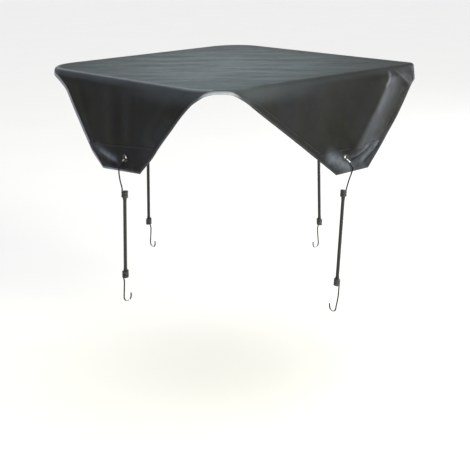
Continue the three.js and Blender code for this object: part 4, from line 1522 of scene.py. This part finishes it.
class COVER_OT_stitching(bpy.types.Operator):
    """Sews the hem and the patches with a row of stitches"""

    bl_idname = "cover.stitching"
    bl_label = "Stitching"

    def execute(self, context):
        stitches = context.scene.cover_stitches
        finish, tree = thread_material(), stitch_tree()
        values = {
            "Spacing": stitches.spacing,
            "Length": stitches.length,
            "Thread": stitches.thread,
            "Finish": finish,
        }
        cloth = context.scene.cover_cloth
        outside = self.hem_seam(THREAD_ABOVE)
        inside = self.hem_seam(-(cloth.hem_thickness + THREAD_UNDER * MM) / MM)
        hem = grown_on_paths("hem_stitching", tree, [outside, inside], values, cyclic=True)
        lift = LAYER_GAP + cloth.patch_sheet / MM - THREAD_SUNK
        seams = [self.patch_seam(flap, lift) for flap in FLAPS]
        patch = grown_on_paths("patch_stitching", tree, seams, values, cyclic=True)
        for piece, slot in ((hem, "cover_cloth"), (patch, "patch_cloth")):
            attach(piece, "root")
        return {"FINISHED"}

    def hem_seam(self, lift):
        """The line of the hem's seam, lifted off the cloth's outer face."""
        line = bpy.context.scene.cover_stitches.hem_line / MM
        path = []
        for flap in FLAPS:
            at = flap_columns(flap)
            stretch, _ = hem_stretch(flap, at)
            drop = drop_at(length_at(hem_drop(flap, at)) - line * stretch)
            point, normal, _ = face_and_normal(flap, at, drop)
            path.append(point + normal * lift)
        return np.concatenate(path)

    def patch_seam(self, flap, lift):
        """The line of the patch's seam, inside its border."""
        corners = patch_corners(flap)
        width = corners[1].at - corners[0].at
        height = corners[3].drop - corners[0].drop
        low_s, low_t = PATCH_SEAM / width, PATCH_SEAM / height
        ring = [(low_s, low_t), (1 - low_s, low_t), (1 - 1.5 * low_s, 1 - low_t), (1.5 * low_s, 1 - low_t)]
        path = []
        for (s0, t0), (s1, t1) in zip(ring, ring[1:] + ring[:1]):
            for share in np.linspace(0, 1, 40, endpoint=False):
                s, t = s0 + (s1 - s0) * share, t0 + (t1 - t0) * share
                at, drop = patch_spot(corners, s, t)
                point, normal, _ = face_and_normal(flap, np.array([at]), np.array([drop]))
                path.append(point[0] + normal[0] * lift)
        return path


# Stage, panel and registration


class COVER_OT_stage(bpy.types.Operator):
    """Sets the camera, the lights and the floor"""

    bl_idname = "cover.stage"
    bl_label = "Stage"

    def execute(self, context):
        stage = context.scene.cover_stage
        context.scene.view_settings.view_transform = "Standard"
        self.camera(context, stage)
        self.floor(stage)
        self.surround(context, stage)
        self.overhead(context, stage)
        for lamp in LAMPS:
            self.soft_light(context, lamp)
        return {"FINISHED"}

    def camera(self, context, stage):
        data = bpy.data.cameras.new("Camera")
        data.lens = stage.lens
        data.sensor_width = 36
        data.clip_end = 200
        camera = bpy.data.objects.new("Camera", data)
        back = CAMERA_RIGHT.cross(CAMERA_UP)
        turn = Matrix((CAMERA_RIGHT, CAMERA_UP, back)).transposed()
        camera.matrix_world = Matrix.Translation(CAMERA_PLACE) @ turn.to_4x4()
        context.scene.collection.objects.link(camera)
        context.scene.camera = camera

    def floor(self, stage):
        half = 40000
        depth = -stage.floor_drop / MM
        corners = [(-half, -half, depth), (half, -half, depth), (half, half, depth), (-half, half, depth)]
        floor = new_mesh("floor", corners, [(0, 1, 2, 3)], smooth_faces=False)
        material, tree, shader = new_material("Pale floor", Roughness=0.9, Specular_IOR_Level=0.1)
        place = node(tree, "ShaderNodeTexCoord").outputs["Object"]
        cloudy = noise_value(tree, place, 2, 2)
        colour = stage.floor_colour
        base = blend_colours(tree, cloudy, rgba(colour, 0.985), rgba(colour, 1.015))
        tree.links.new(base, shader.inputs["Base Color"])
        floor.data.materials.append(material)

    def surround(self, context, stage):
        """A pale surround that is dimmer on the near side."""
        world = bpy.data.worlds.new("Surround")
        world.use_nodes = True
        tree = world.node_tree
        way = node(tree, "ShaderNodeTexCoord").outputs["Generated"]
        away = node(tree, "ShaderNodeVectorMath", {0: way, 1: SURROUND_WAY}, operation="DOT_PRODUCT")
        light = spread(tree, away.outputs["Value"], -1, 1, stage.surround_near, stage.surround_far)
        background = tree.nodes["Background"]
        background.inputs["Color"].default_value = (1, 1, 1, 1)
        tree.links.new(light, background.inputs["Strength"])
        context.scene.world = world

    def overhead(self, context, stage):
        data = bpy.data.lights.new("Overhead", "SUN")
        data.energy = stage.overhead
        data.angle = stage.softness
        light = bpy.data.objects.new("Overhead", data)
        light.rotation_euler = SUN_TILT
        context.scene.collection.objects.link(light)

    def soft_light(self, context, lamp):
        data = bpy.data.lights.new(lamp.name, "AREA")
        data.shape = "SQUARE"
        data.size = lamp.size
        data.energy = lamp.power
        data.color = lamp.colour
        light = bpy.data.objects.new(lamp.name, data)
        light.location = lamp.place
        light.rotation_euler = (-Vector(lamp.place)).to_track_quat("-Z", "Y").to_euler()
        context.scene.collection.objects.link(light)


class COVER_PT_panel(bpy.types.Panel):
    """Lists the steps that build the cover"""

    bl_idname = "COVER_PT_panel"
    bl_label = "Air conditioner cover"
    bl_space_type = "VIEW_3D"
    bl_region_type = "UI"
    bl_category = "Cover"

    def draw(self, context):
        for step in STEPS:
            self.layout.operator(step.bl_idname)
        for group in SETTINGS:
            settings = getattr(context.scene, group)
            box = self.layout.box()
            for key in settings.__annotations__:
                box.prop(settings, key)


STEPS = (
    COVER_OT_stage,
    COVER_OT_cords,
    COVER_OT_cloth,
    COVER_OT_patches,
    COVER_OT_eyelets,
    COVER_OT_stitching,
)
SETTINGS = {
    "cover_cloth": CoverClothSettings,
    "cover_stitches": CoverStitchSettings,
    "cover_cords": CoverCordSettings,
    "cover_stage": CoverStageSettings,
}


def register():
    for kind in (*SETTINGS.values(), *STEPS, COVER_PT_panel):
        bpy.utils.register_class(kind)
    for key, kind in SETTINGS.items():
        setattr(bpy.types.Scene, key, PointerProperty(type=kind))


def unregister():
    for key in SETTINGS:
        delattr(bpy.types.Scene, key)
    for kind in (COVER_PT_panel, *reversed(STEPS), *reversed(SETTINGS.values())):
        bpy.utils.unregister_class(kind)


def main():
    register()
    for step in STEPS:
        group, name = step.bl_idname.split(".")
        getattr(getattr(bpy.ops, group), name)()


if __name__ == "__main__":
    main()
